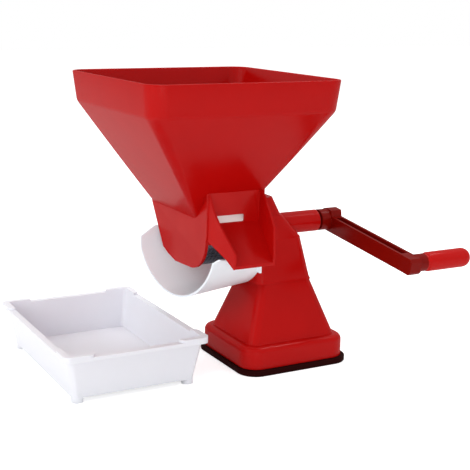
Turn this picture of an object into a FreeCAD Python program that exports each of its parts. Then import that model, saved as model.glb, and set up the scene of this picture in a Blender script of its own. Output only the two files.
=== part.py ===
"""Tomato strainer with a hand crank, built as one parametric document of separate pieces.

Frame: the origin is the middle of the rubber foot on the worktop, +Z is up, +X runs along the
crank axis towards the crank, and the skins leave towards -Y. All sizes are in millimetres.
"""
import FreeCAD, Part
import math
import os
import re

import Sketcher

doc = FreeCAD.newDocument("TomatoStrainer")
sheet = doc.addObject("Spreadsheet::Sheet", "Sizes")
ALIAS = re.compile(r"\b([a-z]\w*)\b(?!\()")
filled_rows = []
pieces = []


# ---------------------------------------------------------------- the sheet and its helpers

def size(alias, content):
    """Write one named size into the next row of the sheet: a number or a formula, both as text."""
    row = len(filled_rows) + 1
    filled_rows.append(alias)
    sheet.set(f"A{row}", alias)
    sheet.set(f"B{row}", content)
    sheet.setAlias(f"B{row}", alias)


def linked(text):
    """Turn a formula in plain aliases into one that other objects can use."""
    return ALIAS.sub(r"Sizes.\1", text)


def value(text):
    """Work a formula out now."""
    return float(sheet.evalExpression(linked(text)))


def bind(item, prop, text):
    """Tie a property of an object to a formula of the sheet."""
    item.setExpression(prop, linked(text))


# ---------------------------------------------------------------- modelling helpers

def new_body(label, across="0", deep="0", up="0", turn_axis=None, turn="0"):
    """Start a body of its own frame, placed and turned in the assembly."""
    body = doc.addObject("PartDesign::Body", label)
    body.Label = label
    if turn_axis is not None:
        body.Placement.Rotation = FreeCAD.Rotation(turn_axis, value(turn))
    place(body, across, deep, up)
    pieces.append(body)
    return body


def place(item, across, deep, up):
    """Bind an object's position to the sheet."""
    bind(item, "Placement.Base.x", across)
    bind(item, "Placement.Base.y", deep)
    bind(item, "Placement.Base.z", up)


def origin_part(body, role):
    """Find one of the body's own origin planes or axes."""
    return next(item for item in body.Origin.OriginFeatures if item.Role == role)


def new_sketch(body, name, plane, height="0"):
    """Attach an empty sketch to an origin plane, moved along the plane's normal."""
    sketch = body.newObject("Sketcher::SketchObject", name)
    sketch.AttachmentSupport = [(origin_part(body, plane), "")]
    sketch.MapMode = "FlatFace"
    bind(sketch, "AttachmentOffset.Base.z", height)
    return sketch


def hold_point(sketch, edge, end, across, up):
    """Bind one point of a sketch to formulas for both of its coordinates."""
    for kind, text in (("DistanceX", across), ("DistanceY", up)):
        index = sketch.addConstraint(Sketcher.Constraint(kind, edge, end, value(text)))
        sketch.setExpression(f"Constraints[{index}]", linked(text))


def arc_edge(point, follower, centre):
    """Return the shorter arc between two corners, and which of its ends lies on each."""
    circle = Part.Circle(centre, FreeCAD.Vector(0, 0, 1), point.distanceToPoint(centre))
    first = math.atan2(point.y - centre.y, point.x - centre.x)
    second = math.atan2(follower.y - centre.y, follower.x - centre.x)
    if math.sin(second - first) > 0:
        return Part.ArcOfCircle(circle, first, second), (1, 2)
    return Part.ArcOfCircle(circle, second, first), (2, 1)


def add_loop(sketch, corners):
    """Draw a closed outline. A corner with a third and fourth text starts an arc about that centre."""
    points = [FreeCAD.Vector(value(corner[0]), value(corner[1]), 0) for corner in corners]
    first_edge = sketch.GeometryCount
    ends = []
    for index, corner in enumerate(corners):
        follower = points[(index + 1) % len(points)]
        if len(corner) > 2:
            centre = FreeCAD.Vector(value(corner[2]), value(corner[3]), 0)
            edge, edge_ends = arc_edge(points[index], follower, centre)
        else:
            edge = Part.LineSegment(points[index], follower)
            edge_ends = (1, 2)
        sketch.addGeometry(edge)
        ends.append(edge_ends)
    for index, corner in enumerate(corners):
        follower = (index + 1) % len(corners)
        edge = first_edge + index
        joint = Sketcher.Constraint("Coincident", edge, ends[index][1],
                                    first_edge + follower, ends[follower][0])
        sketch.addConstraint(joint)
        hold_point(sketch, edge, ends[index][0], corner[0], corner[1])
        if len(corner) > 2:
            chord = points[follower] - points[index]
            kind, text = ("DistanceX", corner[2]) if abs(chord.y) > abs(chord.x) else ("DistanceY", corner[3])
            row = sketch.addConstraint(Sketcher.Constraint(kind, edge, 3, value(text)))
            sketch.setExpression(f"Constraints[{row}]", linked(text))


def outline(body, name, plane, height, corners):
    """Draw one closed outline on an origin plane."""
    sketch = new_sketch(body, name, plane, height)
    add_loop(sketch, corners)
    return sketch


def rounded(body, name, height, left, right, front, back, corner, plane="XY_Plane"):
    """Draw a rectangle with rounded corners."""
    low, high = f"{left} + {corner}", f"{right} - ({corner})"
    near, far = f"{front} + {corner}", f"{back} - ({corner})"
    return outline(body, name, plane, height, [
        (low, front), (high, front, high, near), (right, near), (right, far, high, far),
        (high, back), (low, back, low, far), (left, far), (left, near, low, near)])


def circle(body, name, plane, height, across, up, radius):
    """Draw a circle."""
    sketch = new_sketch(body, name, plane, height)
    centre = FreeCAD.Vector(value(across), value(up), 0)
    sketch.addGeometry(Part.Circle(centre, FreeCAD.Vector(0, 0, 1), value(radius)))
    hold_point(sketch, 0, 3, across, up)
    row = sketch.addConstraint(Sketcher.Constraint("Radius", 0, value(radius)))
    sketch.setExpression(f"Constraints[{row}]", linked(radius))
    return sketch


def pad(body, sketch, length):
    """Add material from a sketch along its normal."""
    feature = body.newObject("PartDesign::Pad", f"{sketch.Name}_pad")
    feature.Profile = sketch
    bind(feature, "Length", length)
    return feature


def pocket(body, sketch, length, along_normal=True):
    """Take material away from a sketch, along its normal or against it."""
    feature = body.newObject("PartDesign::Pocket", f"{sketch.Name}_pocket")
    feature.Profile = sketch
    feature.Reversed = along_normal
    bind(feature, "Length", length)
    return feature


def loft(body, kind, first, second):
    """Join two sketches by an AdditiveLoft or take the same shape away by a SubtractiveLoft."""
    feature = body.newObject(f"PartDesign::{kind}", f"{first.Name}_loft")
    feature.Profile = first
    feature.Sections = [second]
    feature.Ruled = True
    return feature


def revolve(body, sketch):
    """Turn a sketch once about its own horizontal axis."""
    feature = body.newObject("PartDesign::Revolution", f"{sketch.Name}_turn")
    feature.Profile = sketch
    feature.ReferenceAxis = (sketch, ["H_Axis"])
    feature.Angle = 360
    return feature


def rod(name, radius, length, across, deep, up, direction):
    """Place a plain cylinder that starts at a point and runs along a direction."""
    item = doc.addObject("Part::Cylinder", name)
    bind(item, "Radius", radius)
    bind(item, "Height", length)
    item.Placement.Rotation = FreeCAD.Rotation(FreeCAD.Vector(0, 0, 1), direction)
    place(item, across, deep, up)
    return item


def minus(label, base, tool):
    """Cut one object out of another."""
    item = doc.addObject("Part::Cut", label)
    item.Label = label
    item.Base = base
    item.Tool = tool
    return item


def united(label, shapes):
    """Fuse several objects into one."""
    item = doc.addObject("Part::MultiFuse", label)
    item.Label = label
    item.Shapes = shapes
    return item


def grouped(label, shapes):
    """Keep several equal pieces together under one name."""
    item = doc.addObject("Part::Compound", label)
    item.Label = label
    item.Links = shapes
    return item


def as_tool(body):
    """Keep a body out of the written pieces, because it only helps to make another one."""
    pieces.remove(body)
    return body


RIGHT = FreeCAD.Vector(1, 0, 0)
BACK = FreeCAD.Vector(0, 1, 0)
UP = FreeCAD.Vector(0, 0, 1)
SIDES = {"-": "front", "": "back"}
LEVEL_ENOUGH = 0.5

# ---------------------------------------------------------------- driving sizes

DRIVING = {
    "rimLength": 196.0,  # hopper rim along the crank axis
    "rimWidth": 204.0,  # hopper rim from front to back
    "rimRise": 152.3,  # height of the rim above the crank axis
    "rimCentre": -83.5,  # middle of the rim along the crank axis
    "rimCorner": 17.5,  # corner radius of the rim
    "bandHeight": 29.0,  # upright band below the rim
    "bandDraft": 3.0,  # how far the band leans in on each side
    "bandWall": 2.6,  # wall of the band
    "funnelCorner": 20.3,  # corner radius of the funnel's leaning edges
    "hopperWall": 2.8,  # wall of the funnel
    "spigotWall": 2.0,  # wall of the hopper's spigot
    "spigotDepth": 8.0,  # how far the spigot reaches into the throat
    "spigotFit": 0.2,  # gap round the spigot
    "spigotRise": 26.0,  # how far the spigot rises inside the throat
    "spigotCorner": 1.0,  # corner radius of the spigot
    "slotRoom": 5.0,  # room that the spigot leaves above the skin slot
    "throatLeft": -95.5,  # outer face of the left end plate
    "throatRight": -33.0,  # outer face of the right throat wall
    "throatFront": -36.0,  # outer face of the front throat wall
    "throatBack": 91.0,  # outer face of the back throat wall
    "wall": 3.0,  # wall of the red mouldings
    "overlap": 1.0,  # how far joined solids and their cuts run past each other
    "funnelRise": 16.0,  # height of the funnel's foot above the crank axis
    "footFront": -13.7,  # front edge of the funnel's foot
    "footRight": -45.4,  # right edge of the funnel's foot
    "axisHeight": 138.0,  # height of the crank axis
    "drumRadius": 32.3,  # outer radius of the perforated drum
    "drumSheet": 0.8,  # sheet of the drum
    "drumRoom": 1.0,  # gap between the drum and what arches over it
    "perfStep": 6.7,  # distance between the drum's holes along a row
    "perfPitch": 17.0,  # distance between its rows
    "perfLong": 2.0,  # half length of a slanted hole's long side
    "perfShort": 1.0,  # half length of its short side
    "perfLow": 0.9,  # half height of its near corner
    "perfHigh": 1.9,  # half height of its far corner
    "scraperGap": 0.35,  # gap between the scraper lip and the drum
    "scraperTall": 7.0,  # height of the scraper lip
    "scraperEdge": 1.5,  # thickness of its edge
    "scraperBevel": 0.4,  # thickness of its foot
    "plateRound": 34.5,  # radius of the end plate in front of the axis
    "slantDrop": 27.0,  # from the crank axis down to the end of the slanted back wall
    "slantFootDeep": 63.0,  # depth where the slanted back wall ends
    "floorDeep": 33.0,  # front end of the floor behind the drum
    "floorDrop": 36.0,  # from the crank axis down to the underside of the floor behind the drum
    "floorRun": 13.0,  # run of the floor's slanted back end
    "floorRise": 4.0,  # rise of that end
    "juiceGap": 6.0,  # how far the front wall's open part lies below the axis
    "frontGap": 8.0,  # how far the room below it runs past the walls
    "wiperEdge": 1.0,  # flat of the edge that wipes the drum
    "slotRise": 14.4,  # height of the skin slot's lower edge above the crank axis
    "slotTall": 7.6,  # height of the skin slot
    "slotEnd": -54.6,  # right end of the skin slot
    "slotInset": 5.0,  # distance from the end plate to the skin slot
    "slotCorner": 1.5,  # corner radius of the skin slot
    "chuteLip": -70.5,  # front edge of the chute
    "chuteLipDrop": 22.0,  # from the crank axis down to the chute's front edge
    "chuteSheet": 2.4,  # sheet of the chute
    "chuteLipLeft": -82.5,  # left corner of the chute's front edge
    "chuteLipRight": -40.0,  # right corner of the chute's front edge
    "chuteTall": 68.0,  # height of the chute above its lip
    "chuteDeep": 6.0,  # room below the lip for trimming
    "chuteBend": 23.0,  # depth where the chute's walls change slope
    "chuteWallTall": 36.0,  # height of the right wall at the lip
    "chuteNose": 1.5,  # how far the walls' front edge lies behind the lip
    "chuteNoseTall": 8.0,  # height where that edge starts
    "chuteStep": 6.0,  # depth between the points of the walls' curved top
    "wallBendTall": 48.5,  # height of the right wall at the bend
    "wallMidTall": 59.5,  # height of the right wall two steps out
    "wallHighTall": 65.0,  # height of the right wall one step out
    "ridgeLipTall": 13.5,  # height of the left wall at the lip
    "ridgeBendTall": 27.0,  # height of the left wall at the bend
    "ridgeMidTall": 41.0,  # height of the left wall two steps out
    "ridgeHighTall": 50.0,  # height of the left wall one step out
    "chuteFloorRise": 1.8,  # height of the chute's floor above the slot's lower edge
    "chuteSet": 1.5,  # left wall's distance from the end plate's face
    "chuteSetRight": 3.5,  # right wall's distance from the throat's face
    "tubeRadius": 11.1,  # outer radius of the crank tube
    "tubeEnd": 48.5,  # free end of the crank tube
    "bushRadius": 7.5,  # outer radius of the tube bushes
    "bushLength": 14.0,  # length of a tube bush
    "flangeRadius": 9.5,  # radius of a bush's flange
    "flangeSheet": 1.5,  # thickness of a bush's flange
    "shaftRadius": 5.0,  # radius of the crank shaft
    "runningFit": 0.06,  # radial gap of a running fit
    "squareSide": 7.0,  # side of the shaft's square part
    "squareFit": 0.1,  # gap all round the square part
    "journalRadius": 3.4,  # radius of the shaft's left end
    "journalGap": 0.3,  # gap between that end and the end plate
    "shaftShort": 1.0,  # how far the shaft ends below the arm's far face
    "pilotDepth": 12.0,  # depth of the screw hole in the shaft
    "bearingRadius": 6.5,  # outer radius of the end bearing bush
    "bearingLength": 7.0,  # length of the end bearing bush
    "seamDrop": 54.0,  # from the crank axis down to the seam between pedestal and housing
    "seamRight": 27.0,  # right side of the stand at the seam
    "seamLeft": -30.0,  # left side of the stand at the seam
    "seamHalf": 28.0,  # half depth of the stand at the seam
    "neckDrop": 10.0,  # from the crank axis down to where the stand's shoulder starts
    "neckRight": 18.5,  # right side of the stand there
    "neckHalf": 25.0,  # half depth of the stand there
    "bendRight": -2.5,  # right side of the stand above the crank tube
    "bendHalf": 22.0,  # half depth of the stand there
    "bendLedge": 0.5,  # small ledge where the shoulder's two slopes meet
    "shoulderRise": 32.0,  # height of the shoulder's top above the crank axis
    "shoulderRight": -11.5,  # right side of the shoulder's top
    "shoulderHalf": 18.0,  # half depth of the shoulder's top
    "standCorner": 8.0,  # corner radius of the stand
    "standFoot": 28.0,  # height of the stand's foot
    "standLength": 50.0,  # half length of the stand's foot
    "standDepth": 45.0,  # half depth of the stand's foot
    "pedestalCorner": 10.0,  # corner radius of the lower stand's leaning edges
    "skirtLength": 58.0,  # half length of the skirt
    "skirtDepth": 54.0,  # half depth of the skirt
    "skirtCorner": 18.0,  # corner radius of the skirt
    "skirtRound": 6.0,  # rounding of the skirt's upper edge
    "rubberTop": 6.0,  # top of the rubber foot's rim
    "rubberLength": 61.0,  # half length of the rubber foot
    "rubberDepth": 58.0,  # half depth of the rubber foot
    "cupRadius": 46.0,  # mouth of the suction cavity
    "cupCrown": 16.0,  # radius of the suction cavity's flat top
    "cupDepth": 5.0,  # depth of the suction cavity
    "cupBoss": 22.0,  # radius of the rubber boss under the stud
    "cupBossTop": 8.0,  # top of the rubber boss
    "studRadius": 5.0,  # radius of the stud
    "studFlange": 12.0,  # radius of the stud's flange
    "studFlangeSheet": 2.0,  # thickness of the stud's flange
    "guideFoot": 17.0,  # underside of the stud's guide
    "guideRadius": 11.0,  # outer radius of the stud's guide
    "camHeight": 50.0,  # height of the cam shaft
    "camBase": 6.0,  # radius of the cam's round part
    "camLift": 4.0,  # lift of the cam
    "camThick": 8.0,  # thickness of the cam
    "camShaftRadius": 4.0,  # radius of the cam shaft
    "postHalf": 8.0,  # half width of the inner post that carries the cam shaft
    "postRise": 8.0,  # height of that post above the cam shaft
    "postThick": 5.0,  # thickness of that post
    "postGap": 4.0,  # gap between the cam and that post
    "collarLength": 14.0,  # length of the outer bearing of the cam shaft
    "yokeHalf": 13.5,  # half width of the stud's yoke
    "yokeBar": 3.0,  # bar of the stud's yoke
    "yokeFit": 0.05,  # gap above the cam
    "yokeInset": 0.5,  # how much thinner the yoke is than the cam, on each side
    "yokeCorner": 2.0,  # corner radius of the yoke
    "leverLength": 44.0,  # length of the lever handle
    "leverThick": 8.0,  # thickness of the lever handle
    "leverDeep": 51.0,  # near face of the lever handle
    "leverHubRadius": 8.8,  # radius of the lever's hub
    "leverHalf": 6.0,  # half height of the lever handle
    "leverCorner": 5.0,  # corner radius of the lever handle
    "leverStep": 1.5,  # how much thinner the handle is than its hub
    "hubRadius": 11.7,  # radius of the crank arm's hub
    "armReach": 135.6,  # crank axis to grip axis
    "armDrop": 7.6,  # angle of the crank arm below level
    "armNear": 62.0,  # face of the crank arm towards the housing
    "armWide": 12.5,  # width of the crank arm
    "armHubWall": 5.5,  # height of the channel's walls above the axis at the hub
    "armBevel": 3.0,  # bevel of the arm's end
    "collarReach": 10.4,  # how far the hub reaches towards the crank tube
    "collarStep": 0.8,  # how much smaller in radius that collar is
    "armFlange": 2.6,  # wall of the crank arm's channel
    "armTail": 11.0,  # how far the arm runs past the grip axis
    "armTipHalf": 8.0,  # half height of the arm at the grip
    "armBoss": 8.5,  # radius of the boss behind the grip
    "armBossEnd": 85.0,  # free end of that boss
    "gripRadius": 9.3,  # radius of the grip
    "gripEnd": 139.3,  # free end of the grip
    "gripGap": 0.5,  # gap between boss and grip
    "gripNeck": 1.4,  # neck of the grip beside the boss
    "capRadius": 5.2,  # radius of the grip's cap
    "boltRoom": 7.5,  # depth of the room for the bolt's head
    "boltHeadTall": 3.0,  # height of the grip bolt's head
    "boltHeadGap": 0.4,  # gap round and behind the grip bolt's head
    "boltInset": 4.0,  # how deep the grip bolt's foot lies in the arm
    "boltRadius": 3.0,  # radius of the grip bolt
    "capSheet": 2.5,  # thickness of the grip cap
    "troughRadius": 64.0,  # radius of the trough's round bottom
    "troughDeep": 22.0,  # depth of the trough's centre line
    "troughRise": 31.0,  # height of the trough's centre at its open end, above the floor behind the drum
    "troughOpen": -97.0,  # open end of the trough at the crank axis
    "troughSkew": 0.2,  # how far the open end leans, per unit of depth
    "troughSlope": 0.118,  # rise of the trough towards the stand
    "troughWall": 2.2,  # wall of the trough
    "troughBack": 81.5,  # outer face of the trough's back wall
    "troughBackRise": 27.5,  # top of the trough's back wall above that floor
    "troughFrontRise": 20.5,  # top of the trough's front above that floor, at its open end
    "troughFrontLess": 13.5,  # how much lower it is at the closed end
    "troughCornerRun": 16.0,  # length of the bevel on the back wall's open end
    "troughCornerTall": 10.0,  # height of that bevel
    "troughEndInset": 6.0,  # distance from the trough's edges to its end wall's
    "troughEndGap": 4.0,  # gap between the end wall and the floor behind the drum
    "trimRoom": 20.0,  # how far the trimming cuts run past the trough
    "lipFoot": -39.0,  # depth where the trough's front lip starts
    "lipFront": -56.0,  # front edge of the trough's lip
    "lipRise": 8.2,  # height of the trough's lip
    "trayLeft": -244.0,  # left side of the tray's rim
    "trayRight": -100.0,  # right side of the tray's rim
    "trayFront": -55.5,  # front of the tray's rim
    "trayBack": 145.0,  # back of the tray's rim
    "trayTop": 46.0,  # height of the tray's rim
    "trayFoot": 5.0,  # height of the tray's underside
    "trayRim": 4.0,  # how far the tray's rim stands out
    "trayRimTall": 3.5,  # height of the tray's rim
    "trayDraft": 7.0,  # how far the tray's walls lean in
    "trayWall": 2.2,  # wall of the tray
    "trayCorner": 6.0,  # corner radius of the tray
    "trayTab": 2.5,  # how far the corner tabs stand up
    "trayTabLength": 30.0,  # length of a corner tab
    "trayPad": 11.0,  # side of a corner foot
    "trayPadCorner": 5.0,  # corner radius of a corner foot
    "screwRadius": 2.0,  # radius of the screws
    "screwHead": 3.8,  # radius of a screw's head
    "headTall": 2.4,  # height of a screw's head
    "screwAcross": -3.0,  # place of the stand screws along the crank axis
    "screwInset": 9.0,  # distance from the stand's side to its screws
    "screwBite": 14.0,  # depth of the stand screws' holes
    "troughScrewInset": 18.0,  # distance from the stand's side to the trough screws
    "troughScrewDrop": 8.5,  # from that floor down to the trough screws
    "armScrewBite": 9.8,  # depth of the arm screw
    "armScrewHead": 4.4,  # radius of the arm screw's head
    "endSheet": 2.0,  # thickness of a drum end disc
    "endHub": 8.5,  # radius of its hub
    "endHubLong": 7.0,  # length of its hub
    "washerRadius": 6.5,  # radius of the arm washer
    "washerSheet": 1.2,  # thickness of the arm washer
}

# ---------------------------------------------------------------- sizes that follow

FOLLOWING = {
    "rimTop": "=axisHeight + rimRise",  # height of the rim
    "funnelFoot": "=axisHeight + funnelRise",  # height of the funnel's foot at the end plate
    "slantFoot": "=axisHeight - slantDrop",  # height where the slanted back wall ends
    "floorHeight": "=axisHeight - floorDrop",  # underside of the floor behind the drum
    "slotLow": "=axisHeight + slotRise",  # lower edge of the skin slot
    "chuteLipHeight": "=axisHeight - chuteLipDrop",  # height of the chute's front edge
    "seamHeight": "=axisHeight - seamDrop",  # seam between pedestal and housing
    "neckHeight": "=axisHeight - neckDrop",  # height where the stand's shoulder starts
    "shoulderHeight": "=axisHeight + shoulderRise",  # height where the shoulder ends
    "troughHeight": "=floorHeight + troughRise",  # height of the trough's centre at its open end
    "troughBackTop": "=floorHeight + troughBackRise",  # top of the trough's back wall
    "troughFrontHigh": "=floorHeight + troughFrontRise",  # top of the trough's front at its open end
    "troughFrontLow": "=troughFrontHigh - troughFrontLess",  # top of the trough's front at its closed end
    "rimLeft": "=rimCentre - rimLength / 2",  # left side of the rim
    "rimRight": "=rimCentre + rimLength / 2",  # right side of the rim
    "rimHalf": "=rimWidth / 2",  # half width of the rim
    "bandFoot": "=rimTop - bandHeight",  # foot of the band
    "innerLeft": "=throatLeft + wall",  # inner face of the left plate
    "innerRight": "=throatRight - wall",  # inner face of the right throat wall
    "innerFront": "=throatFront + wall",  # inner face of the front throat wall
    "innerBack": "=throatBack - wall",  # inner face of the back throat wall
    "throatTop": "=funnelFoot + 34",  # top of the throat before the hopper's seat is cut
    "drumLeft": "=innerLeft + 1",  # left end of the drum
    "drumRight": "=innerRight - 2",  # right end of the drum
    "webHeight": "=standFoot - 2",  # underside of the pedestal's inner web
    "armFar": "=armNear + armWide",  # far face of the crank arm
    "gripNear": "=armBossEnd + gripGap",  # near end of the grip
    "troughEnd": "=throatRight",  # closed end of the trough, against the stand
    # height of the trough's centre at its closed end
    "troughEndCentre": "=troughHeight + troughSlope * (troughEnd - troughOpen)",
    "slantRun": "=(throatBack - slantFootDeep) / (funnelFoot - slantFoot)",  # lean of the back wall
    "screwDeep": "=seamHalf - screwInset",  # depth of the stand screws
    "troughScrewDeep": "=seamHalf - troughScrewInset",  # depth of the trough screws
    "troughScrewHeight": "=floorHeight - troughScrewDrop",  # height of the trough screws
}
for alias, number in DRIVING.items():
    size(alias, repr(number))
for alias, formula in FOLLOWING.items():
    size(alias, formula)
doc.recompute()


# ---------------------------------------------------------------- hopper

def four_corners(left, right, front, back):
    """Name the corners of a rectangle in order round it."""
    return [(left, front), (right, front), (right, back), (left, back)]


def trim_top(body, kind, prop, reach):
    """Round the edges of a body's top face by a Fillet, or bevel them by a Chamfer."""
    doc.recompute()
    tip = body.Tip
    top = tip.Shape.BoundBox.ZMax
    edges = [f"Edge{number}" for number, edge in enumerate(tip.Shape.Edges, 1)
             if edge.BoundBox.ZMin > top - LEVEL_ENOUGH]
    feature = body.newObject(f"PartDesign::{kind}", f"{tip.Name}_top")
    feature.Base = (tip, edges)
    bind(feature, prop, reach)
    return feature


def tapered_block(name, foot, foot_sides, top, top_sides, corner):
    """Make a block with four flat leaning sides and rounded corner edges."""
    flat = doc.addObject("Part::Wedge", f"{name}_flat")
    flat.Placement.Rotation = FreeCAD.Rotation(RIGHT, 90)
    for prop, text in (("Ymin", foot), ("Ymax", top)):
        bind(flat, prop, text)
    for level, (left, right, front, back) in (("", foot_sides), ("2", top_sides)):
        bind(flat, f"X{level}min", left)
        bind(flat, f"X{level}max", right)
        bind(flat, f"Z{level}min", f"-({back})")
        bind(flat, f"Z{level}max", f"-({front})")
    doc.recompute()
    block = doc.addObject("Part::Fillet", name)
    block.Base = flat
    block.Edges = [(number, value(corner), value(corner)) for number, edge in enumerate(flat.Shape.Edges, 1)
                   if abs(edge.Vertexes[0].Z - edge.Vertexes[-1].Z) > LEVEL_ENOUGH]
    return block


def funnel_block(name, inset, foot, corner):
    """Make the funnel's four flat sides between the throat and the band."""
    return tapered_block(
        name, foot, (f"throatLeft + {inset}", f"footRight - {inset}", f"footFront + {inset}",
                     f"throatBack - {inset}"),
        "bandFoot", (f"rimLeft + bandDraft + {inset}", f"rimRight - bandDraft - {inset}",
                     f"bandDraft - rimHalf + {inset}", f"rimHalf - bandDraft - {inset}"), corner)


def band_block(name, inset, top, corner):
    """Make the upright band between its foot and the rim."""
    return tapered_block(
        name, "bandFoot", (f"rimLeft + bandDraft + {inset}", f"rimRight - bandDraft - {inset}",
                           f"bandDraft - rimHalf + {inset}", f"rimHalf - bandDraft - {inset}"),
        top, (f"rimLeft + {inset}", f"rimRight - {inset}", f"{inset} - rimHalf", f"rimHalf - {inset}"), corner)


def straight_block(name, foot, tall, left, right, front, back, corner):
    """Make an upright block with rounded corners."""
    body = as_tool(new_body(name))
    pad(body, rounded(body, f"{name}_plan", foot, left, right, front, back, corner), tall)
    return body


def build_hopper():
    """Make the funnel with its band, and the spigot that plugs into the throat over the drum."""
    spigot = straight_block("spigot", "funnelFoot - spigotDepth", "spigotDepth + spigotRise",
                            "innerLeft + spigotFit", "innerRight - spigotFit", "innerFront + spigotFit",
                            "innerBack - spigotFit", "spigotCorner")
    mass = united("hopper_mass", [funnel_block("funnel", "0", "funnelFoot", "funnelCorner"),
                                  band_block("band", "0", "rimTop", "rimCorner"), spigot])
    bore = straight_block("throat_bore", "funnelFoot - spigotDepth - overlap", "spigotDepth + spigotRise + wall * 2",
                          "innerLeft + spigotFit + spigotWall", "innerRight - spigotFit - spigotWall",
                          "innerFront + spigotFit + spigotWall", "innerBack - spigotFit - spigotWall",
                          "spigotCorner")
    slot_way = straight_block("slot_way", "funnelFoot - spigotDepth - overlap",
                              "slotLow + slotTall + slotRoom - (funnelFoot - spigotDepth - overlap)", "innerLeft",
                              "innerRight", "innerFront", "innerFront + spigotFit + spigotWall + overlap", "spigotCorner / 2")
    back_way = straight_block("back_way", "funnelFoot - spigotDepth - overlap", "spigotDepth + overlap", "innerLeft",
                              "innerRight", "innerBack - slantRun * spigotDepth - spigotFit * 2", "innerBack",
                              "spigotCorner / 2")
    drum_way = rod("drum_way", "drumRadius + drumRoom", "innerRight - innerLeft", "innerLeft", "0", "axisHeight",
                   RIGHT)
    room = united("hopper_room", [
        funnel_block("funnel_room", "hopperWall", "funnelFoot + wall", "funnelCorner - hopperWall"),
        band_block("band_room", "bandWall", "rimTop + overlap", "rimCorner - bandWall"), bore, slot_way, back_way,
        drum_way])
    hopper = minus("hopper", mass, room)
    pieces.append(hopper)
    return hopper


# ---------------------------------------------------------------- drum housing

def build_plate():
    """Make the throat block: upright front, slanted back, flat foot and a round nose about the axis."""
    body = as_tool(new_body("plate"))
    sketch = outline(body, "plateSide", "YZ_Plane", "throatLeft", [
        ("throatFront", "throatTop"), ("throatFront", "axisHeight"),
        ("-plateRound", "axisHeight", "0", "axisHeight"),
        ("0", "axisHeight - plateRound"), ("floorDeep", "floorHeight"),
        ("slantFootDeep - floorRun", "floorHeight + floorRise"), ("slantFootDeep", "slantFoot"),
        ("throatBack", "funnelFoot"), ("throatBack", "throatTop")])
    pad(body, sketch, "throatRight - throatLeft")
    return body


def build_throat_room():
    """Make the room in the throat: straight down to the drum, and open below it for the juice."""
    body = as_tool(new_body("throat_room"))
    back = "throatBack - wall * 1.15 - slantRun * (funnelFoot - slantFoot)"
    edge_deep, edge_high = "drumRadius * 0.77", "axisHeight - drumRadius * 0.68"
    sketch = outline(body, "throatSide", "YZ_Plane", "innerLeft", [
        ("innerFront", "throatTop + overlap"), ("innerFront", "axisHeight - juiceGap"),
        ("innerFront - frontGap", "axisHeight - juiceGap"), ("innerFront - frontGap", "floorHeight - frontGap"),
        ("floorDeep - wall * 2", "floorHeight - frontGap"), (edge_deep, edge_high),
        (f"{edge_deep} + wiperEdge * 2", f"{edge_high} + wiperEdge"), ("floorDeep", "floorHeight + wall"),
        ("slantFootDeep - floorRun - overlap", "floorHeight + floorRise + wall"), (back, "slantFoot + overlap"),
        ("throatBack - wall", "funnelFoot"), ("throatBack - wall", "throatTop + overlap")])
    pad(body, sketch, "innerRight - innerLeft")
    return body


def stand_blocks():
    """Make the upper stand in three leaning blocks, up to the throat's right wall."""
    neck = ("throatRight - overlap", "neckRight", "-neckHalf", "neckHalf")
    bend_height = "axisHeight + tubeRadius + wall"
    bend = ("throatRight - overlap", "bendRight", "-bendHalf", "bendHalf")
    crest = ("throatRight - overlap", "bendRight - bendLedge", "bendLedge - bendHalf", "bendHalf - bendLedge")
    return [
        tapered_block("stand_low", "seamHeight", ("throatRight", "seamRight", "-seamHalf", "seamHalf"),
                      "neckHeight", ("throatRight", "neckRight", "-neckHalf", "neckHalf"), "standCorner"),
        tapered_block("stand_shoulder", "neckHeight", neck, bend_height, bend, "standCorner - overlap"),
        tapered_block("stand_crest", f"{bend_height} - overlap", crest, "shoulderHeight",
                      ("throatRight - overlap", "shoulderRight", "-shoulderHalf", "shoulderHalf"), "standCorner - overlap")]


def build_stand_room():
    """Make the room inside the upper stand, up to a roof below the crank tube."""
    return tapered_block(
        "stand_room", "seamHeight", ("throatRight + wall", "seamRight - wall", "-seamHalf + wall",
                                     "seamHalf - wall"),
        "axisHeight - tubeRadius - wall * 2", ("throatRight + wall", "neckRight - wall", "-neckHalf + wall",
                                               "neckHalf - wall"), "standCorner - wall")


def chute_walls_side():
    """Outline the chute's walls seen from the side, with a curved top that falls to the lip."""
    return [
        ("throatFront + overlap * 2", "axisHeight - overlap"),
        ("throatFront - chuteBend", "chuteLipHeight + chuteDeep + overlap"),
        ("chuteLip + chuteNose", "chuteLipHeight - overlap"), ("chuteLip", "chuteLipHeight + chuteNoseTall"),
        ("chuteLip + chuteNose", "chuteLipHeight + chuteWallTall"),
        ("throatFront - chuteBend", "chuteLipHeight + wallBendTall"),
        ("throatFront - chuteStep * 2", "chuteLipHeight + wallMidTall"),
        ("throatFront - chuteStep", "chuteLipHeight + wallHighTall"),
        ("throatFront + overlap * 2", "chuteLipHeight + chuteTall")]


def chute_ridge_side():
    """Outline what is cut off above the left wall, which is lower than the right one."""
    high = "chuteLipHeight + chuteTall + overlap * 2"
    return [
        ("throatFront", high), ("throatFront", "chuteLipHeight + chuteTall - overlap"),
        ("throatFront - chuteStep", "chuteLipHeight + ridgeHighTall"),
        ("throatFront - chuteStep * 2", "chuteLipHeight + ridgeMidTall"),
        ("throatFront - chuteBend", "chuteLipHeight + ridgeBendTall"),
        ("chuteLip", "chuteLipHeight + ridgeLipTall"), ("chuteLip - chuteSheet", "chuteLipHeight"),
        ("chuteLip - chuteStep", "chuteLipHeight"), ("chuteLip - chuteStep", high)]


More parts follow.
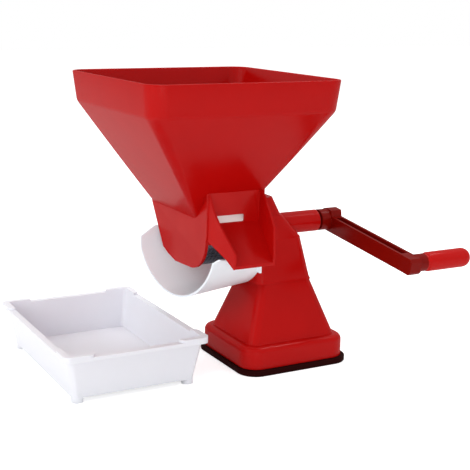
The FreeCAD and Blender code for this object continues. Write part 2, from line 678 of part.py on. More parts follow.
def chute_hollow():
    """Make the room between the chute's walls, above its sloping floor."""
    inside = as_tool(new_body("chute_inside"))
    sketch = outline(inside, "insidePlan", "XY_Plane", "chuteLipHeight - chuteDeep * 2", [
        ("throatLeft + chuteSet + chuteSheet", "throatFront"),
        ("chuteLipLeft + chuteSheet", "chuteLip - chuteSheet * 2"),
        ("chuteLipRight - chuteSheet", "chuteLip - chuteSheet * 2"),
        ("throatRight - chuteSetRight - chuteSheet", "throatFront")])
    pad(inside, sketch, "chuteTall + chuteDeep * 4")
    floor = as_tool(new_body("chute_floor"))
    thick = "chuteSheet / cos(45deg)"
    sketch = outline(floor, "floorSide", "YZ_Plane", "throatLeft", [
        ("throatFront + overlap * 2", f"slotLow + chuteFloorRise - {thick}"),
        ("chuteLip - overlap", f"chuteLipHeight - {thick}"), ("chuteLip - overlap", "chuteLipHeight"),
        ("throatFront + overlap * 2", "slotLow + chuteFloorRise")])
    pad(floor, sketch, "throatRight - throatLeft")
    return minus("chute_hollow", inside, floor)


def build_chute():
    """Make the front chute: a sloping floor between two side walls that narrow to the lip."""
    plan = as_tool(new_body("chute_plan"))
    sketch = outline(plan, "chutePlan", "XY_Plane", "chuteLipHeight - chuteDeep", [
        ("throatLeft + chuteSet", "throatFront + overlap"), ("chuteLipLeft", "chuteLip - chuteSheet"),
        ("chuteLipRight", "chuteLip - chuteSheet"), ("throatRight - chuteSetRight", "throatFront + overlap")])
    pad(plan, sketch, "chuteTall + chuteDeep * 2")
    side = as_tool(new_body("chute_side"))
    pad(side, outline(side, "chuteSide", "YZ_Plane", "throatLeft", chute_walls_side()), "throatRight - throatLeft")
    outer = doc.addObject("Part::Common", "chute_outer")
    outer.Base = plan
    outer.Tool = side
    ridge = as_tool(new_body("chute_left_ridge"))
    pad(ridge, outline(ridge, "leftRidge", "YZ_Plane", "throatLeft - overlap", chute_ridge_side()),
        "(throatRight - throatLeft) / 2")
    return minus("chute", minus("chute_walls", outer, chute_hollow()), ridge)


def housing_extras():
    """Make what is added inside the walls: the left bearing's boss and the two screw posts."""
    extras = [rod("bearing_boss", "bearingRadius + wall", "bearingLength + overlap", "innerLeft - overlap", "0",
                  "axisHeight", RIGHT)]
    for side in SIDES:
        extras.append(rod(f"screw_post_{SIDES[side]}", "screwHead + overlap", "axisHeight - tubeRadius - seamHeight",
                          "screwAcross", f"{side}screwDeep", "seamHeight", UP))
    return extras


def housing_holes():
    """Make everything that is cut through the housing's walls."""
    slot = as_tool(new_body("skin_slot"))
    pad(slot, rounded(slot, "slotFace", "-innerFront - overlap", "innerLeft + slotInset", "slotEnd", "slotLow",
                      "slotLow + slotTall", "slotCorner", "XZ_Plane"), "wall + overlap * 2")
    holes = [
        slot, rod("tube_bore", "bushRadius", "tubeEnd - innerRight + overlap * 2", "innerRight - overlap", "0",
                  "axisHeight", RIGHT),
        rod("bearing_seat", "bearingRadius", "bearingLength + overlap", "innerLeft", "0", "axisHeight", RIGHT)]
    for side in SIDES:
        holes.append(rod(f"screw_pilot_{SIDES[side]}", "screwRadius", "screwBite", "screwAcross",
                         f"{side}screwDeep", "seamHeight", UP))
        holes.append(rod(f"trough_pilot_{SIDES[side]}", "screwRadius", "wall", "throatRight",
                         f"{side}troughScrewDeep", "troughScrewHeight", RIGHT))
    return holes


def build_housing():
    """Make the housing: end plate, throat, chute, upper stand and crank tube in one moulding."""
    tube = rod("crank_tube", "tubeRadius", "tubeEnd - innerRight", "innerRight", "0", "axisHeight", RIGHT)
    mass = united("housing_mass", [build_plate(), tube] + stand_blocks())
    room = united("housing_room", [build_throat_room(), build_stand_room()])
    shell = minus("housing_shell", mass, room)
    whole = united("housing_whole", [shell, build_chute()] + housing_extras())
    seat = funnel_block("hopper_seat", "0", "funnelFoot", "funnelCorner")
    housing = minus("drum_housing", whole, united("housing_holes", [seat] + housing_holes()))
    pieces.append(housing)
    return housing


# ---------------------------------------------------------------- pedestal and foot

def pedestal_room():
    """Make the rooms inside the pedestal, with a web between the stand and the skirt."""
    stand = tapered_block(
        "pedestal_stand_room", "standFoot + overlap", ("-standLength + wall", "standLength - wall",
                                                 "-standDepth + wall", "standDepth - wall"),
        "seamHeight - wall", ("seamLeft + wall", "seamRight - wall", "-seamHalf + wall", "seamHalf - wall"),
        "pedestalCorner - wall")
    skirt = straight_block("skirt_room", "rubberTop - overlap", "webHeight - rubberTop + overlap", "-skirtLength + wall",
                           "skirtLength - wall", "-skirtDepth + wall", "skirtDepth - wall", "skirtCorner - wall")
    trim_top(skirt, "Chamfer", "Size", "skirtRound - wall")
    return united("pedestal_room", [stand, skirt])


def build_pedestal():
    """Make the lower stand and the skirt, hollow, with a guide for the stud and a bearing for the cam."""
    skirt = straight_block("skirt", "rubberTop", "standFoot - rubberTop", "-skirtLength", "skirtLength",
                           "-skirtDepth", "skirtDepth", "skirtCorner")
    trim_top(skirt, "Fillet", "Radius", "skirtRound")
    stand = tapered_block(
        "pedestal_stand", "standFoot - overlap", ("-standLength", "standLength", "-standDepth", "standDepth"),
        "seamHeight", ("seamLeft", "seamRight", "-seamHalf", "seamHalf"), "pedestalCorner")
    shell = minus("pedestal_shell", united("pedestal_mass", [skirt, stand]), pedestal_room())
    guide = rod("stud_guide", "guideRadius", "webHeight - guideFoot + overlap", "0", "0", "guideFoot", UP)
    post = straight_block("cam_post", "standFoot", "camHeight + postRise - standFoot", "-postHalf", "postHalf",
                          "-camThick / 2 - postGap - postThick", "-camThick / 2 - postGap", "overlap")
    collar = rod("cam_collar", "camShaftRadius + wall", "collarLength", "0",
                 "standDepth - wall - collarLength - overlap", "camHeight", BACK)
    whole = united("pedestal_whole", [shell, guide, post, collar])
    holes = [rod("stud_bore", "studRadius + runningFit", "standFoot - guideFoot + wall + overlap", "0", "0",
                 "guideFoot - overlap", UP),
             rod("cam_bore", "camShaftRadius + runningFit", "standDepth + collarLength + overlap * 2", "0",
                 "-camThick / 2 - postGap - postThick - overlap", "camHeight", BACK)]
    for side in SIDES:
        holes.append(rod(f"screw_hole_{SIDES[side]}", "screwRadius + squareFit", "wall + overlap * 2",
                         "screwAcross", f"{side}screwDeep", "seamHeight - wall - overlap", UP))
    pedestal = minus("pedestal", whole, united("pedestal_holes", holes))
    pieces.append(pedestal)
    return pedestal


def build_cup():
    """Make the rubber foot with its shallow suction cavity."""
    body = new_body("suction_cup")
    rim = rounded(body, "cupRim", "0", "-rubberLength", "rubberLength", "-rubberDepth", "rubberDepth",
                  "skirtCorner + 1.5")
    pad(body, rim, "rubberTop")
    boss = circle(body, "cupBossRound", "XY_Plane", "rubberTop", "0", "0", "cupBoss")
    pad(body, boss, "cupBossTop - rubberTop")
    mouth = circle(body, "cupMouth", "XY_Plane", "0", "0", "0", "cupRadius")
    crown = circle(body, "cupCrownRound", "XY_Plane", "cupDepth", "0", "0", "cupCrown")
    loft(body, "SubtractiveLoft", mouth, crown)
    return body


def build_stud():
    """Make the stud with its flange on the rubber and its yoke round the cam."""
    body = new_body("cup_stud")
    flange = circle(body, "studFlangeRound", "XY_Plane", "cupBossTop", "0", "0", "studFlange")
    pad(body, flange, "studFlangeSheet")
    stem = circle(body, "studStem", "XY_Plane", "cupBossTop", "0", "0", "studRadius")
    pad(body, stem, "camHeight - camBase - camLift - yokeBar - cupBossTop")
    yoke = rounded(body, "studYoke", "yokeInset - camThick / 2", "-yokeHalf", "yokeHalf",
                   "camHeight - camBase - camLift - yokeBar - overlap", "camHeight + camBase + yokeFit + yokeBar",
                   "yokeCorner", "XZ_Plane")
    pad(body, yoke, "camThick - yokeInset * 2")
    window = rounded(body, "studWindow", "-camThick / 2", "-yokeHalf + yokeBar", "yokeHalf - yokeBar",
                     "camHeight - camBase - camLift - overlap", "camHeight + camBase + yokeFit", "yokeCorner / 2",
                     "XZ_Plane")
    pocket(body, window, "camThick")
    return body


def build_cam():
    """Make the cam: a round part and a nose that lifts a flat follower evenly over a quarter turn."""
    rate = value("camLift") / (math.pi / 2)
    top = value("camBase") + value("camLift")
    steps = 12
    nose = []
    for step in range(steps + 1):
        turn = math.pi / 2 * step / steps
        reach = top - rate * turn
        across = reach * math.cos(turn) + rate * math.sin(turn)
        up = reach * math.sin(turn) - rate * math.cos(turn)
        nose.append(FreeCAD.Vector(across, 0, up))
    curve = Part.BSplineCurve()
    curve.interpolate(nose)
    low = FreeCAD.Vector(0, 0, -value("camBase"))
    edges = [curve.toShape(), Part.makeLine(nose[-1], FreeCAD.Vector(0, 0, value("camBase"))),
             Part.makeLine(FreeCAD.Vector(0, 0, value("camBase")), low), Part.makeLine(low, nose[0])]
    half = Part.Face(Part.Wire(edges)).extrude(FreeCAD.Vector(0, value("camThick"), 0))
    round_part = Part.makeCylinder(value("camBase"), value("camThick"), FreeCAD.Vector(0, 0, 0), BACK)
    hole = Part.makeCylinder(value("camShaftRadius"), value("camThick"), FreeCAD.Vector(0, 0, 0), BACK)
    cam = doc.addObject("Part::Feature", "lift_cam")
    cam.Shape = half.fuse(round_part).cut(hole).removeSplitter()
    cam.Label = "lift_cam"
    place(cam, "0", "-camThick / 2", "camHeight")
    pieces.append(cam)
    return cam


def build_lever():
    """Make the cam shaft and the handle behind the stand that turns it."""
    start = "-camThick / 2 - postGap - postThick"
    shaft = rod("cam_shaft", "camShaftRadius", f"leverDeep + leverThick + overlap - ({start})", "0", start,
                "camHeight", BACK)
    shaft.Label = "cam_shaft"
    pieces.append(shaft)
    body = new_body("lever_handle", "0", "leverDeep", "camHeight")
    hub = circle(body, "leverHub", "XZ_Plane", "-leverThick", "0", "0", "leverHubRadius")
    pad(body, hub, "leverThick")
    blade = rounded(body, "leverBlade", "-leverThick", "0", "leverLength", "-leverHalf", "leverHalf",
                    "leverCorner", "XZ_Plane")
    pad(body, blade, "leverThick - leverStep")
    hole = circle(body, "leverHole", "XZ_Plane", "-leverThick - overlap", "0", "0", "camShaftRadius")
    pocket(body, hole, "leverThick + overlap * 2")
    return body


def build_screws():
    """Make the stand screws and the trough screws, each pair kept together."""
    stand = []
    trough = []
    for side, end in SIDES.items():
        deep = f"{side}screwDeep"
        stem = rod(f"stand_stem_{end}", "screwRadius", "screwBite + overlap", "screwAcross", deep,
                   "seamHeight - wall", UP)
        head = rod(f"stand_head_{end}", "screwHead", "headTall", "screwAcross", deep,
                   "seamHeight - wall - headTall", UP)
        stand.append(united(f"stand_screw_{end}", [stem, head]))
        deep = f"{side}troughScrewDeep"
        stem = rod(f"trough_stem_{end}", "screwRadius", "troughWall + wall * 2", "throatRight - troughWall", deep,
                   "troughScrewHeight", RIGHT)
        head = rod(f"trough_head_{end}", "screwHead", "headTall", "throatRight - troughWall - headTall", deep,
                   "troughScrewHeight", RIGHT)
        trough.append(united(f"trough_screw_{end}", [stem, head]))
    pieces.append(grouped("stand_screws", stand))
    pieces.append(grouped("trough_screws", trough))


# ---------------------------------------------------------------- drum, shaft and bearings

def build_drum():
    """Make the perforated drum with rows of slanted slots."""
    body = new_body("drum_shell", "0", "0", "axisHeight")
    pad(body, circle(body, "drumOuter", "YZ_Plane", "drumLeft", "0", "0", "drumRadius"), "drumRight - drumLeft")
    pocket(body, circle(body, "drumInner", "YZ_Plane", "drumLeft - overlap", "0", "0", "drumRadius - drumSheet"),
           "drumRight - drumLeft + overlap * 2")
    sketch = new_sketch(body, "drumSlots", "XY_Plane")
    along = round(value("drumRight - drumLeft") / value("perfStep"))
    for index in range(along):
        middle = f"drumLeft + (drumRight - drumLeft) * {(index + 0.5) / along}"
        add_loop(sketch, [(f"{middle} - perfLong", "-perfLow"), (f"{middle} - perfShort", "-perfHigh"),
                          (f"{middle} + perfLong", "perfLow"), (f"{middle} + perfShort", "perfHigh")])
    cut = pocket(body, sketch, "drumRadius + overlap")
    rows = body.newObject("PartDesign::PolarPattern", "drumRows")
    rows.Originals = [cut]
    rows.Axis = (origin_part(body, "X_Axis"), [""])
    rows.Angle = 360
    rows.Occurrences = round(math.tau * value("drumRadius") / value("perfPitch"))
    body.Tip = rows
    return body


def square_hole(body, name, start, length):
    """Cut the hole that fits over the shaft's square part."""
    half = "(squareSide / 2 + squareFit)"
    hole = outline(body, name, "YZ_Plane", start, four_corners(f"-{half}", half, f"-{half}", half))
    return pocket(body, hole, length)


def build_drum_end(label, near, hub_near):
    """Make one end disc of the drum, with a hub that the shaft's square part turns."""
    body = new_body(label, "0", "0", "axisHeight", RIGHT, "armDrop")
    disc = circle(body, f"{label}_disc", "YZ_Plane", near, "0", "0", "drumRadius - drumSheet")
    pad(body, disc, "endSheet")
    hub = circle(body, f"{label}_hub", "YZ_Plane", hub_near, "0", "0", "endHub")
    pad(body, hub, "endHubLong")
    square_hole(body, f"{label}_hole", f"{hub_near} - endHubLong", "endHubLong * 3")
    return body


def build_shaft():
    """Make the crank shaft: round in the tube, square in the drum and in the arm."""
    body = new_body("crank_shaft", "0", "0", "axisHeight", RIGHT, "armDrop")
    journal = circle(body, "shaftJournal", "YZ_Plane", "innerLeft + journalGap", "0", "0", "journalRadius")
    pad(body, journal, "bearingLength + overlap * 2")
    half = "squareSide / 2"
    corners = four_corners(f"-{half}", half, f"-{half}", half)
    pad(body, outline(body, "shaftSquare", "YZ_Plane", "innerLeft + bearingLength + overlap", corners),
        "drumRight - innerLeft - bearingLength - overlap")
    middle = circle(body, "shaftRound", "YZ_Plane", "drumRight", "0", "0", "shaftRadius")
    pad(body, middle, "armNear - drumRight")
    pad(body, outline(body, "armSquare", "YZ_Plane", "armNear", corners), "armWide - shaftShort")
    pilot = circle(body, "armPilot", "YZ_Plane", "armFar - pilotDepth", "0", "0", "screwRadius")
    pocket(body, pilot, "pilotDepth")
    return body


def build_bush(label, start, flange_start):
    """Make one flanged bush of the crank tube."""
    sleeve = rod(f"{label}_sleeve", "bushRadius", "bushLength", start, "0", "axisHeight", RIGHT)
    flange = rod(f"{label}_flange", "flangeRadius", "flangeSheet", flange_start, "0", "axisHeight", RIGHT)
    bore = rod(f"{label}_bore", "shaftRadius + runningFit", "bushLength + flangeSheet * 4",
               f"{start} - flangeSheet * 2", "0", "axisHeight", RIGHT)
    bush = minus(label, united(f"{label}_blank", [sleeve, flange]), bore)
    pieces.append(bush)
    return bush


def build_bearing():
    """Make the plain bush that carries the shaft's left end in the end plate."""
    sleeve = rod("bearing_sleeve", "bearingRadius", "bearingLength", "innerLeft", "0", "axisHeight", RIGHT)
    bore = rod("bearing_bore", "journalRadius + runningFit", "bearingLength", "innerLeft", "0", "axisHeight", RIGHT)
    bush = minus("bearing_bush", sleeve, bore)
    pieces.append(bush)
    return bush


def build_scraper():
    """Make the strip below the slot that lifts the skins from the drum."""
    body = new_body("scraper_lip")
    reach = "-sqrt((drumRadius + scraperGap) ^ 2 - (slotLow - axisHeight - scraperEdge) ^ 2)"
    strip = outline(body, "scraperSide", "YZ_Plane", "drumLeft", [
        ("innerFront", "slotLow - scraperTall"), ("innerFront + scraperBevel", "slotLow - scraperTall"),
        (reach, "slotLow - scraperEdge"),
        (reach, "slotLow"), ("innerFront", "slotLow")])
    pad(body, strip, "drumRight - drumLeft")
    return body


# ---------------------------------------------------------------- trough and tray

def arc_height(radius, deep):
    """Return a formula for the height of the trough's round bottom, at a depth, at its closed end."""
    return f"(troughEndCentre - sqrt(({radius}) ^ 2 - ({deep} - troughDeep) ^ 2))"


def trough_section():
    """Outline the trough's section at its closed end: a front lip, a round bottom and a back wall."""
    centre = "troughEndCentre"
    slim = "troughRadius - troughWall"
    lip = f"{arc_height('troughRadius', 'lipFoot')} + lipRise"
    top = "troughBackTop + troughEndCentre - troughHeight + overlap"
    inner_lip = "lipFoot + troughWall"
    inner_back = "troughBack - troughWall"
    return [
        ("lipFront", lip), ("lipFoot", arc_height("troughRadius", "lipFoot"), "troughDeep", centre),
        ("troughDeep", f"{centre} - troughRadius", "troughDeep", centre),
        ("troughBack", arc_height("troughRadius", "troughBack")), ("troughBack", top), (inner_back, top),
        (inner_back, arc_height(slim, inner_back), "troughDeep", centre),
        ("troughDeep", f"{centre} - ({slim})", "troughDeep", centre),
        (inner_lip, arc_height(slim, inner_lip)), ("lipFront + troughWall / 2", f"{lip} + troughWall")]


def trough_end_wall(body):
    """Add the wall that closes the trough against the stand, with its two screw holes."""
    low = "troughRadius - overlap"
    front = "lipFoot + troughEndInset"
    back = "troughBack - troughEndInset"
    top = "floorHeight - troughEndGap"
    face = outline(body, "troughEndWall", "YZ_Plane", "troughEnd - troughWall", [
        (front, top), (front, arc_height(low, front), "troughDeep", "troughEndCentre"),
        ("troughDeep", f"troughEndCentre - ({low})", "troughDeep", "troughEndCentre"),
        (back, arc_height(low, back)), (back, top)])
    pad(body, face, "troughWall")
    for side, end in SIDES.items():
        hole = circle(body, f"end_hole_{end}", "YZ_Plane", "troughEnd - troughWall - overlap",
                      f"{side}troughScrewDeep", "troughScrewHeight", "screwRadius + squareFit")
        pocket(body, hole, "troughWall + overlap * 2")


def trim_trough(body):
    """Trim the open end, the sloping front edge and the bevelled back wall."""
    front, back = "lipFront - trimRoom", "troughBack + trimRoom"
    mouth = outline(body, "troughMouth", "XY_Plane", "0", [
        (f"troughOpen - troughSkew * ({front})", front), (f"troughOpen - troughSkew * ({back})", back),
        ("troughOpen - trimRoom * 4", back), ("troughOpen - trimRoom * 4", front)])
    pocket(body, mouth, "troughHeight + trimRoom * 2")
    right, high = "throatRight + overlap", "troughBackTop + trimRoom * 2"
    edge = outline(body, "troughFrontTrim", "XZ_Plane", "-lipFoot - chuteNoseTall", [
        ("troughOpen", "troughFrontHigh"), (right, "troughFrontLow"), (right, high), ("troughOpen", high)])
    pocket(body, edge, "trimRoom * 3")
    bevel = outline(body, "troughBackTrim", "XZ_Plane", "-troughBack - troughWall", [
        ("troughOpen - trimRoom * 4", "troughBackTop - troughCornerTall"),
        ("troughOpen - troughCornerRun", "troughBackTop - troughCornerTall"), ("troughOpen", "troughBackTop"),
        (right, "troughBackTop"), (right, high), ("troughOpen - trimRoom * 4", high)])
    pocket(body, bevel, "trimRoom")


def build_trough():
    """Make the sloping trough below the drum, closed against the stand and open to the left."""
    body = new_body("juice_trough")
    section = outline(body, "troughSection", "YZ_Plane", "troughEnd", trough_section())
    channel = pad(body, section, "troughEnd - troughOpen + trimRoom * 1.3")
    channel.UseCustomVector = True
    channel.AlongSketchNormal = False
    channel.Direction = FreeCAD.Vector(-1, 0, -value("troughSlope"))
    trough_end_wall(body)
    trim_trough(body)
    return body


def build_tray():
    """Make the tray with leaning walls, an outward rim, corner tabs and corner feet."""
    left, right = "trayLeft + trayRim", "trayRight - trayRim"
    front, back = "trayFront + trayRim", "trayBack - trayRim"
    low_sides = (f"{left} + trayDraft", f"{right} - trayDraft", f"{front} + trayDraft", f"{back} - trayDraft")
    parts = [
        tapered_block("tray_walls", "trayFoot", low_sides, "trayTop", (left, right, front, back), "trayCorner"),
        straight_block("tray_rim", "trayTop - trayRimTall", "trayRimTall", "trayLeft", "trayRight", "trayFront",
                       "trayBack", "trayCorner + overlap")]
    for across, side in (("trayLeft", "left"), ("trayRight - trayTabLength", "right")):
        for deep, end in (("trayFront", "front"), ("trayBack - trayTabLength", "back")):
            foot_across = low_sides[0] if side == "left" else f"{low_sides[1]} - trayPad"
            foot_deep = low_sides[2] if end == "front" else f"{low_sides[3]} - trayPad"
            parts.append(straight_block(f"tab_{side}_{end}", "trayTop - overlap", "trayTab + overlap", across,
                                        f"{across} + trayTabLength", deep, f"{deep} + trayTabLength",
                                        "trayCorner + overlap"))
            parts.append(straight_block(f"foot_{side}_{end}", "0", "trayFoot + overlap", foot_across,
                                        f"{foot_across} + trayPad", foot_deep, f"{foot_deep} + trayPad",
                                        "trayPadCorner"))
    room = tapered_block(
        "tray_room", "trayFoot + trayWall", (f"{low_sides[0]} + trayWall", f"{low_sides[1]} - trayWall",
                                             f"{low_sides[2]} + trayWall", f"{low_sides[3]} - trayWall"),
        "trayTop + trayTab + overlap", (f"{left} + trayWall", f"{right} - trayWall", f"{front} + trayWall",
                                  f"{back} - trayWall"), "trayCorner - trayWall")
    tray = minus("tray", united("tray_mass", parts), room)
    pieces.append(tray)
    return tray


# ---------------------------------------------------------------- crank arm and grip

def build_arm():
    """Make the crank arm: a channel open at the top between the hub and the grip's boss."""
    body = new_body("crank_arm", "0", "0", "axisHeight", RIGHT, "armDrop")
    side = outline(body, "armSide", "YZ_Plane", "armNear", [
        ("0", "hubRadius"), ("-hubRadius * 0.7", "hubRadius"), ("-hubRadius * 0.85", "armHubWall"),
        ("-armReach", "armTipHalf"), ("-armReach - armTail + armBevel", "armTipHalf"),
        ("-armReach - armTail", "armTipHalf - armBevel"), ("-armReach - armTail", "armBevel - armTipHalf"),
        ("-armReach - armTail + armBevel", "-armTipHalf"), ("-armReach", "-armTipHalf"),
        ("0", "-hubRadius", "0", "0"), ("hubRadius", "0", "0", "0")])
    pad(body, side, "armWide")
    boss = circle(body, "armBossRound", "YZ_Plane", "armFar - overlap", "-armReach", "0", "armBoss")
    pad(body, boss, "armBossEnd - armFar + overlap")
    channel = outline(body, "armChannel", "YZ_Plane", "armNear + armFlange", [
        ("-hubRadius - armFlange", "hubRadius + overlap"),
        ("-hubRadius - armFlange", "armFlange - hubRadius + overlap"),
        ("armBoss - armReach", "armFlange - armTipHalf"), ("armBoss - armReach", "hubRadius + overlap")])
    pocket(body, channel, "armWide - armFlange * 2")
    collar = circle(body, "armCollar", "YZ_Plane", "armNear - collarReach", "0", "0", "hubRadius - collarStep")
    pad(body, collar, "collarReach + overlap")
    square_hole(body, "armHole", "armNear", "armWide + overlap * 2")
    relief = circle(body, "armRelief", "YZ_Plane", "armNear - collarReach - overlap", "0", "0",
                    "shaftRadius + squareFit")
    pocket(body, relief, "collarReach + overlap")
    bolt_hole = circle(body, "armBoltHole", "YZ_Plane", "armNear + boltInset", "-armReach", "0", "boltRadius")
    pocket(body, bolt_hole, "armBossEnd - armNear")
    return body


def arm_point():
    """Return formulas for the grip axis in the assembly."""
    return "-armReach * cos(armDrop * 1deg)", "axisHeight - armReach * sin(armDrop * 1deg)"


def build_grip():
    """Make the grip that turns on its bolt, and the domed cap in its free end."""
    deep, up = arm_point()
    body = new_body("grip", "0", deep, up)
    dome = "(gripEnd - gripRadius)"
    seat = "(gripEnd - gripRadius + sqrt(gripRadius ^ 2 - capRadius ^ 2))"
    side = outline(body, "gripSide", "XY_Plane", "0", [
        ("gripNear", "boltRadius + runningFit"), ("gripNear", "gripRadius - gripNeck"),
        ("gripNear + gripNeck", "gripRadius - gripNeck"), ("gripNear + gripNeck * 2", "gripRadius"),
        (dome, "gripRadius", dome, "0"), (seat, "capRadius"),
        (f"{seat} - boltRoom", "capRadius"), (f"{seat} - boltRoom", "boltRadius + runningFit")])
    revolve(body, side)
    cap = new_body("grip_cap", "0", deep, up)
    face = outline(cap, "capSide", "XY_Plane", "0", [
        (f"{seat} - capSheet", "0"), (f"{seat} - capSheet", "capRadius"), (seat, "capRadius", dome, "0"),
        ("gripEnd", "0")])
    revolve(cap, face)
    return body


def build_arm_hardware():
    """Make the arm's screw and washer, and the bolt that carries the grip."""
    hole = rod("washer_hole", "screwRadius + squareFit", "washerSheet", "armFar", "0", "axisHeight", RIGHT)
    disc = rod("washer_disc", "washerRadius", "washerSheet", "armFar", "0", "axisHeight", RIGHT)
    pieces.append(minus("arm_washer", disc, hole))
    stem = rod("arm_screw_stem", "screwRadius", "armScrewBite + washerSheet", "armFar - armScrewBite", "0",
               "axisHeight", RIGHT)
    head = rod("arm_screw_head", "armScrewHead", "headTall", "armFar + washerSheet", "0", "axisHeight", RIGHT)
    pieces.append(united("arm_screw", [stem, head]))
    deep, up = arm_point()
    seat = "(gripEnd - gripRadius + sqrt(gripRadius ^ 2 - capRadius ^ 2) - boltRoom)"
    shank = rod("bolt_shank", "boltRadius", f"{seat} + boltHeadGap - armNear - boltInset", "armNear + boltInset",
                deep, up, RIGHT)
    cap = rod("bolt_head", "capRadius - boltHeadGap", "boltHeadTall", f"{seat} + boltHeadGap", deep, up, RIGHT)
    pieces.append(united("grip_bolt", [shank, cap]))


# ---------------------------------------------------------------- build and write

def build_all():
    """Make every piece in turn."""
    build_hopper()
    build_housing()
    build_pedestal()
    build_cup()
    build_stud()
    build_cam()
    build_lever()
    build_screws()
    build_drum()
    build_drum_end("drum_end_left", "innerLeft + bearingLength + wall", "innerLeft + bearingLength + wall")
    build_drum_end("drum_end_right", "drumRight - endSheet * 2", "drumRight - endSheet - endHubLong")
    build_shaft()
    build_bush("tube_bush_inner", "innerRight", "innerRight - flangeSheet")
    build_bush("tube_bush_outer", "tubeEnd - bushLength", "tubeEnd")
    build_bearing()
    build_scraper()
    build_trough()
    build_tray()
    build_arm()
    build_grip()
    build_arm_hardware()


def check_document():
    """Stop with a list of everything that failed to build."""
    faults = [f"{item.Name}: {item.State}" for item in doc.Objects
              if "Invalid" in item.State or "Error" in item.State]
    for piece in pieces:
        if piece.Shape.isNull() or not piece.Shape.isValid():
            faults.append(f"{piece.Label}: shape not valid")
    if faults:
        raise RuntimeError("; ".join(faults))


def write_pieces():
    """Write each piece to its own file."""
    os.makedirs("parts", exist_ok=True)
    for piece in pieces:
        piece.Shape.exportStep(f"parts/{piece.Label}.step")
        box = piece.Shape.BoundBox
        print(f"{piece.Label}: {len(piece.Shape.Solids)} solid, {piece.Shape.Volume / 1000:.2f} cm3, "
              f"x {box.XMin:.1f}..{box.XMax:.1f} y {box.YMin:.1f}..{box.YMax:.1f} "
              f"z {box.ZMin:.1f}..{box.ZMax:.1f}")


build_all()
doc.recompute()
check_document()
write_pieces()
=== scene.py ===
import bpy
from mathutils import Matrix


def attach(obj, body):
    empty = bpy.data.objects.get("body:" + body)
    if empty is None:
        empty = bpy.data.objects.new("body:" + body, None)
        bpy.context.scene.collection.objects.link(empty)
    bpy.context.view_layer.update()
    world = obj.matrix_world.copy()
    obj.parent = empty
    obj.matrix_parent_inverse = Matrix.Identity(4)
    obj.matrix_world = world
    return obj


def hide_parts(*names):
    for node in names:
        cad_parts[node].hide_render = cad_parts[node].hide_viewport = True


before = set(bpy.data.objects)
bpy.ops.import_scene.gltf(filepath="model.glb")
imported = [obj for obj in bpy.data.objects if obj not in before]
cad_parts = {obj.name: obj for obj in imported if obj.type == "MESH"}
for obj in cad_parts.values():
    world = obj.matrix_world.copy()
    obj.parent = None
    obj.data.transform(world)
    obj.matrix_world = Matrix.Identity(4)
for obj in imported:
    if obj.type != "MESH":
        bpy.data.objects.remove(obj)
# Looks of the tomato strainer: a square hopper over a perforated drum on a suction stand, with a
# crank, a juice trough and a tray. +X runs along the crank axis, -Y is the front, +Z is up. Sizes
# are in millimetres where nothing else is said, and every mesh is built in metres.

import logging
import math
from dataclasses import dataclass
from enum import Enum
from typing import Callable, ClassVar, Sequence

import bmesh
import bpy
from mathutils import Matrix, Vector

LOG = logging.getLogger("tomato_strainer")
MM = 0.001
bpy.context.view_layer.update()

Triple = tuple[float, float, float]


# ---------------------------------------------------------------- choices

class Body(Enum):
    """The moving bodies of the frame that carry a new piece."""

    FRAME = "frame"
    CRANK = "crank"
    HANDLE = "handle"
    DISH = "dish"


class Slot(Enum):
    """The record's material slots, passed along with a new piece but not set on it."""

    RED = "red_gloss"
    DEEP_RED = "dark_red"
    WHITE = "white_plastic"
    RUBBER = "black_rubber"
    DRUM = "drum_steel"


# ---------------------------------------------------------------- node boards

class NodeBoard:
    """Short ways to add and join nodes in one tree."""

    def __init__(self, tree: bpy.types.NodeTree) -> None:
        """Work in the tree that the nodes go into."""
        self.tree = tree

    def put(self, kind: str, settings: dict[str, object] | None = None,
            **inputs: object) -> bpy.types.Node:
        """Add a node, set its settings and feed its inputs.

        Args:
            kind: the node's type.
            settings: its own properties.
            inputs: input names, with _ for a space, and what feeds them.

        Returns:
            The node.
        """
        node = self.tree.nodes.new(kind)
        for key, value in (settings or {}).items():
            setattr(node, key, value)
        for key, value in inputs.items():
            self.feed(node.inputs[key.replace("_", " ")], value)
        return node

    def feed(self, socket: bpy.types.NodeSocket, value: object) -> None:
        """Link a socket to another, or set it to a plain value."""
        if isinstance(value, bpy.types.NodeSocket):
            self.tree.links.new(value, socket)
        else:
            socket.default_value = value

    def sum_of(self, operation: str, first: object, second: object = 0.0) -> bpy.types.NodeSocket:
        """Work one sum out of two values."""
        node = self.tree.nodes.new("ShaderNodeMath")
        node.operation = operation
        self.feed(node.inputs[0], first)
        self.feed(node.inputs[1], second)
        return node.outputs[0]


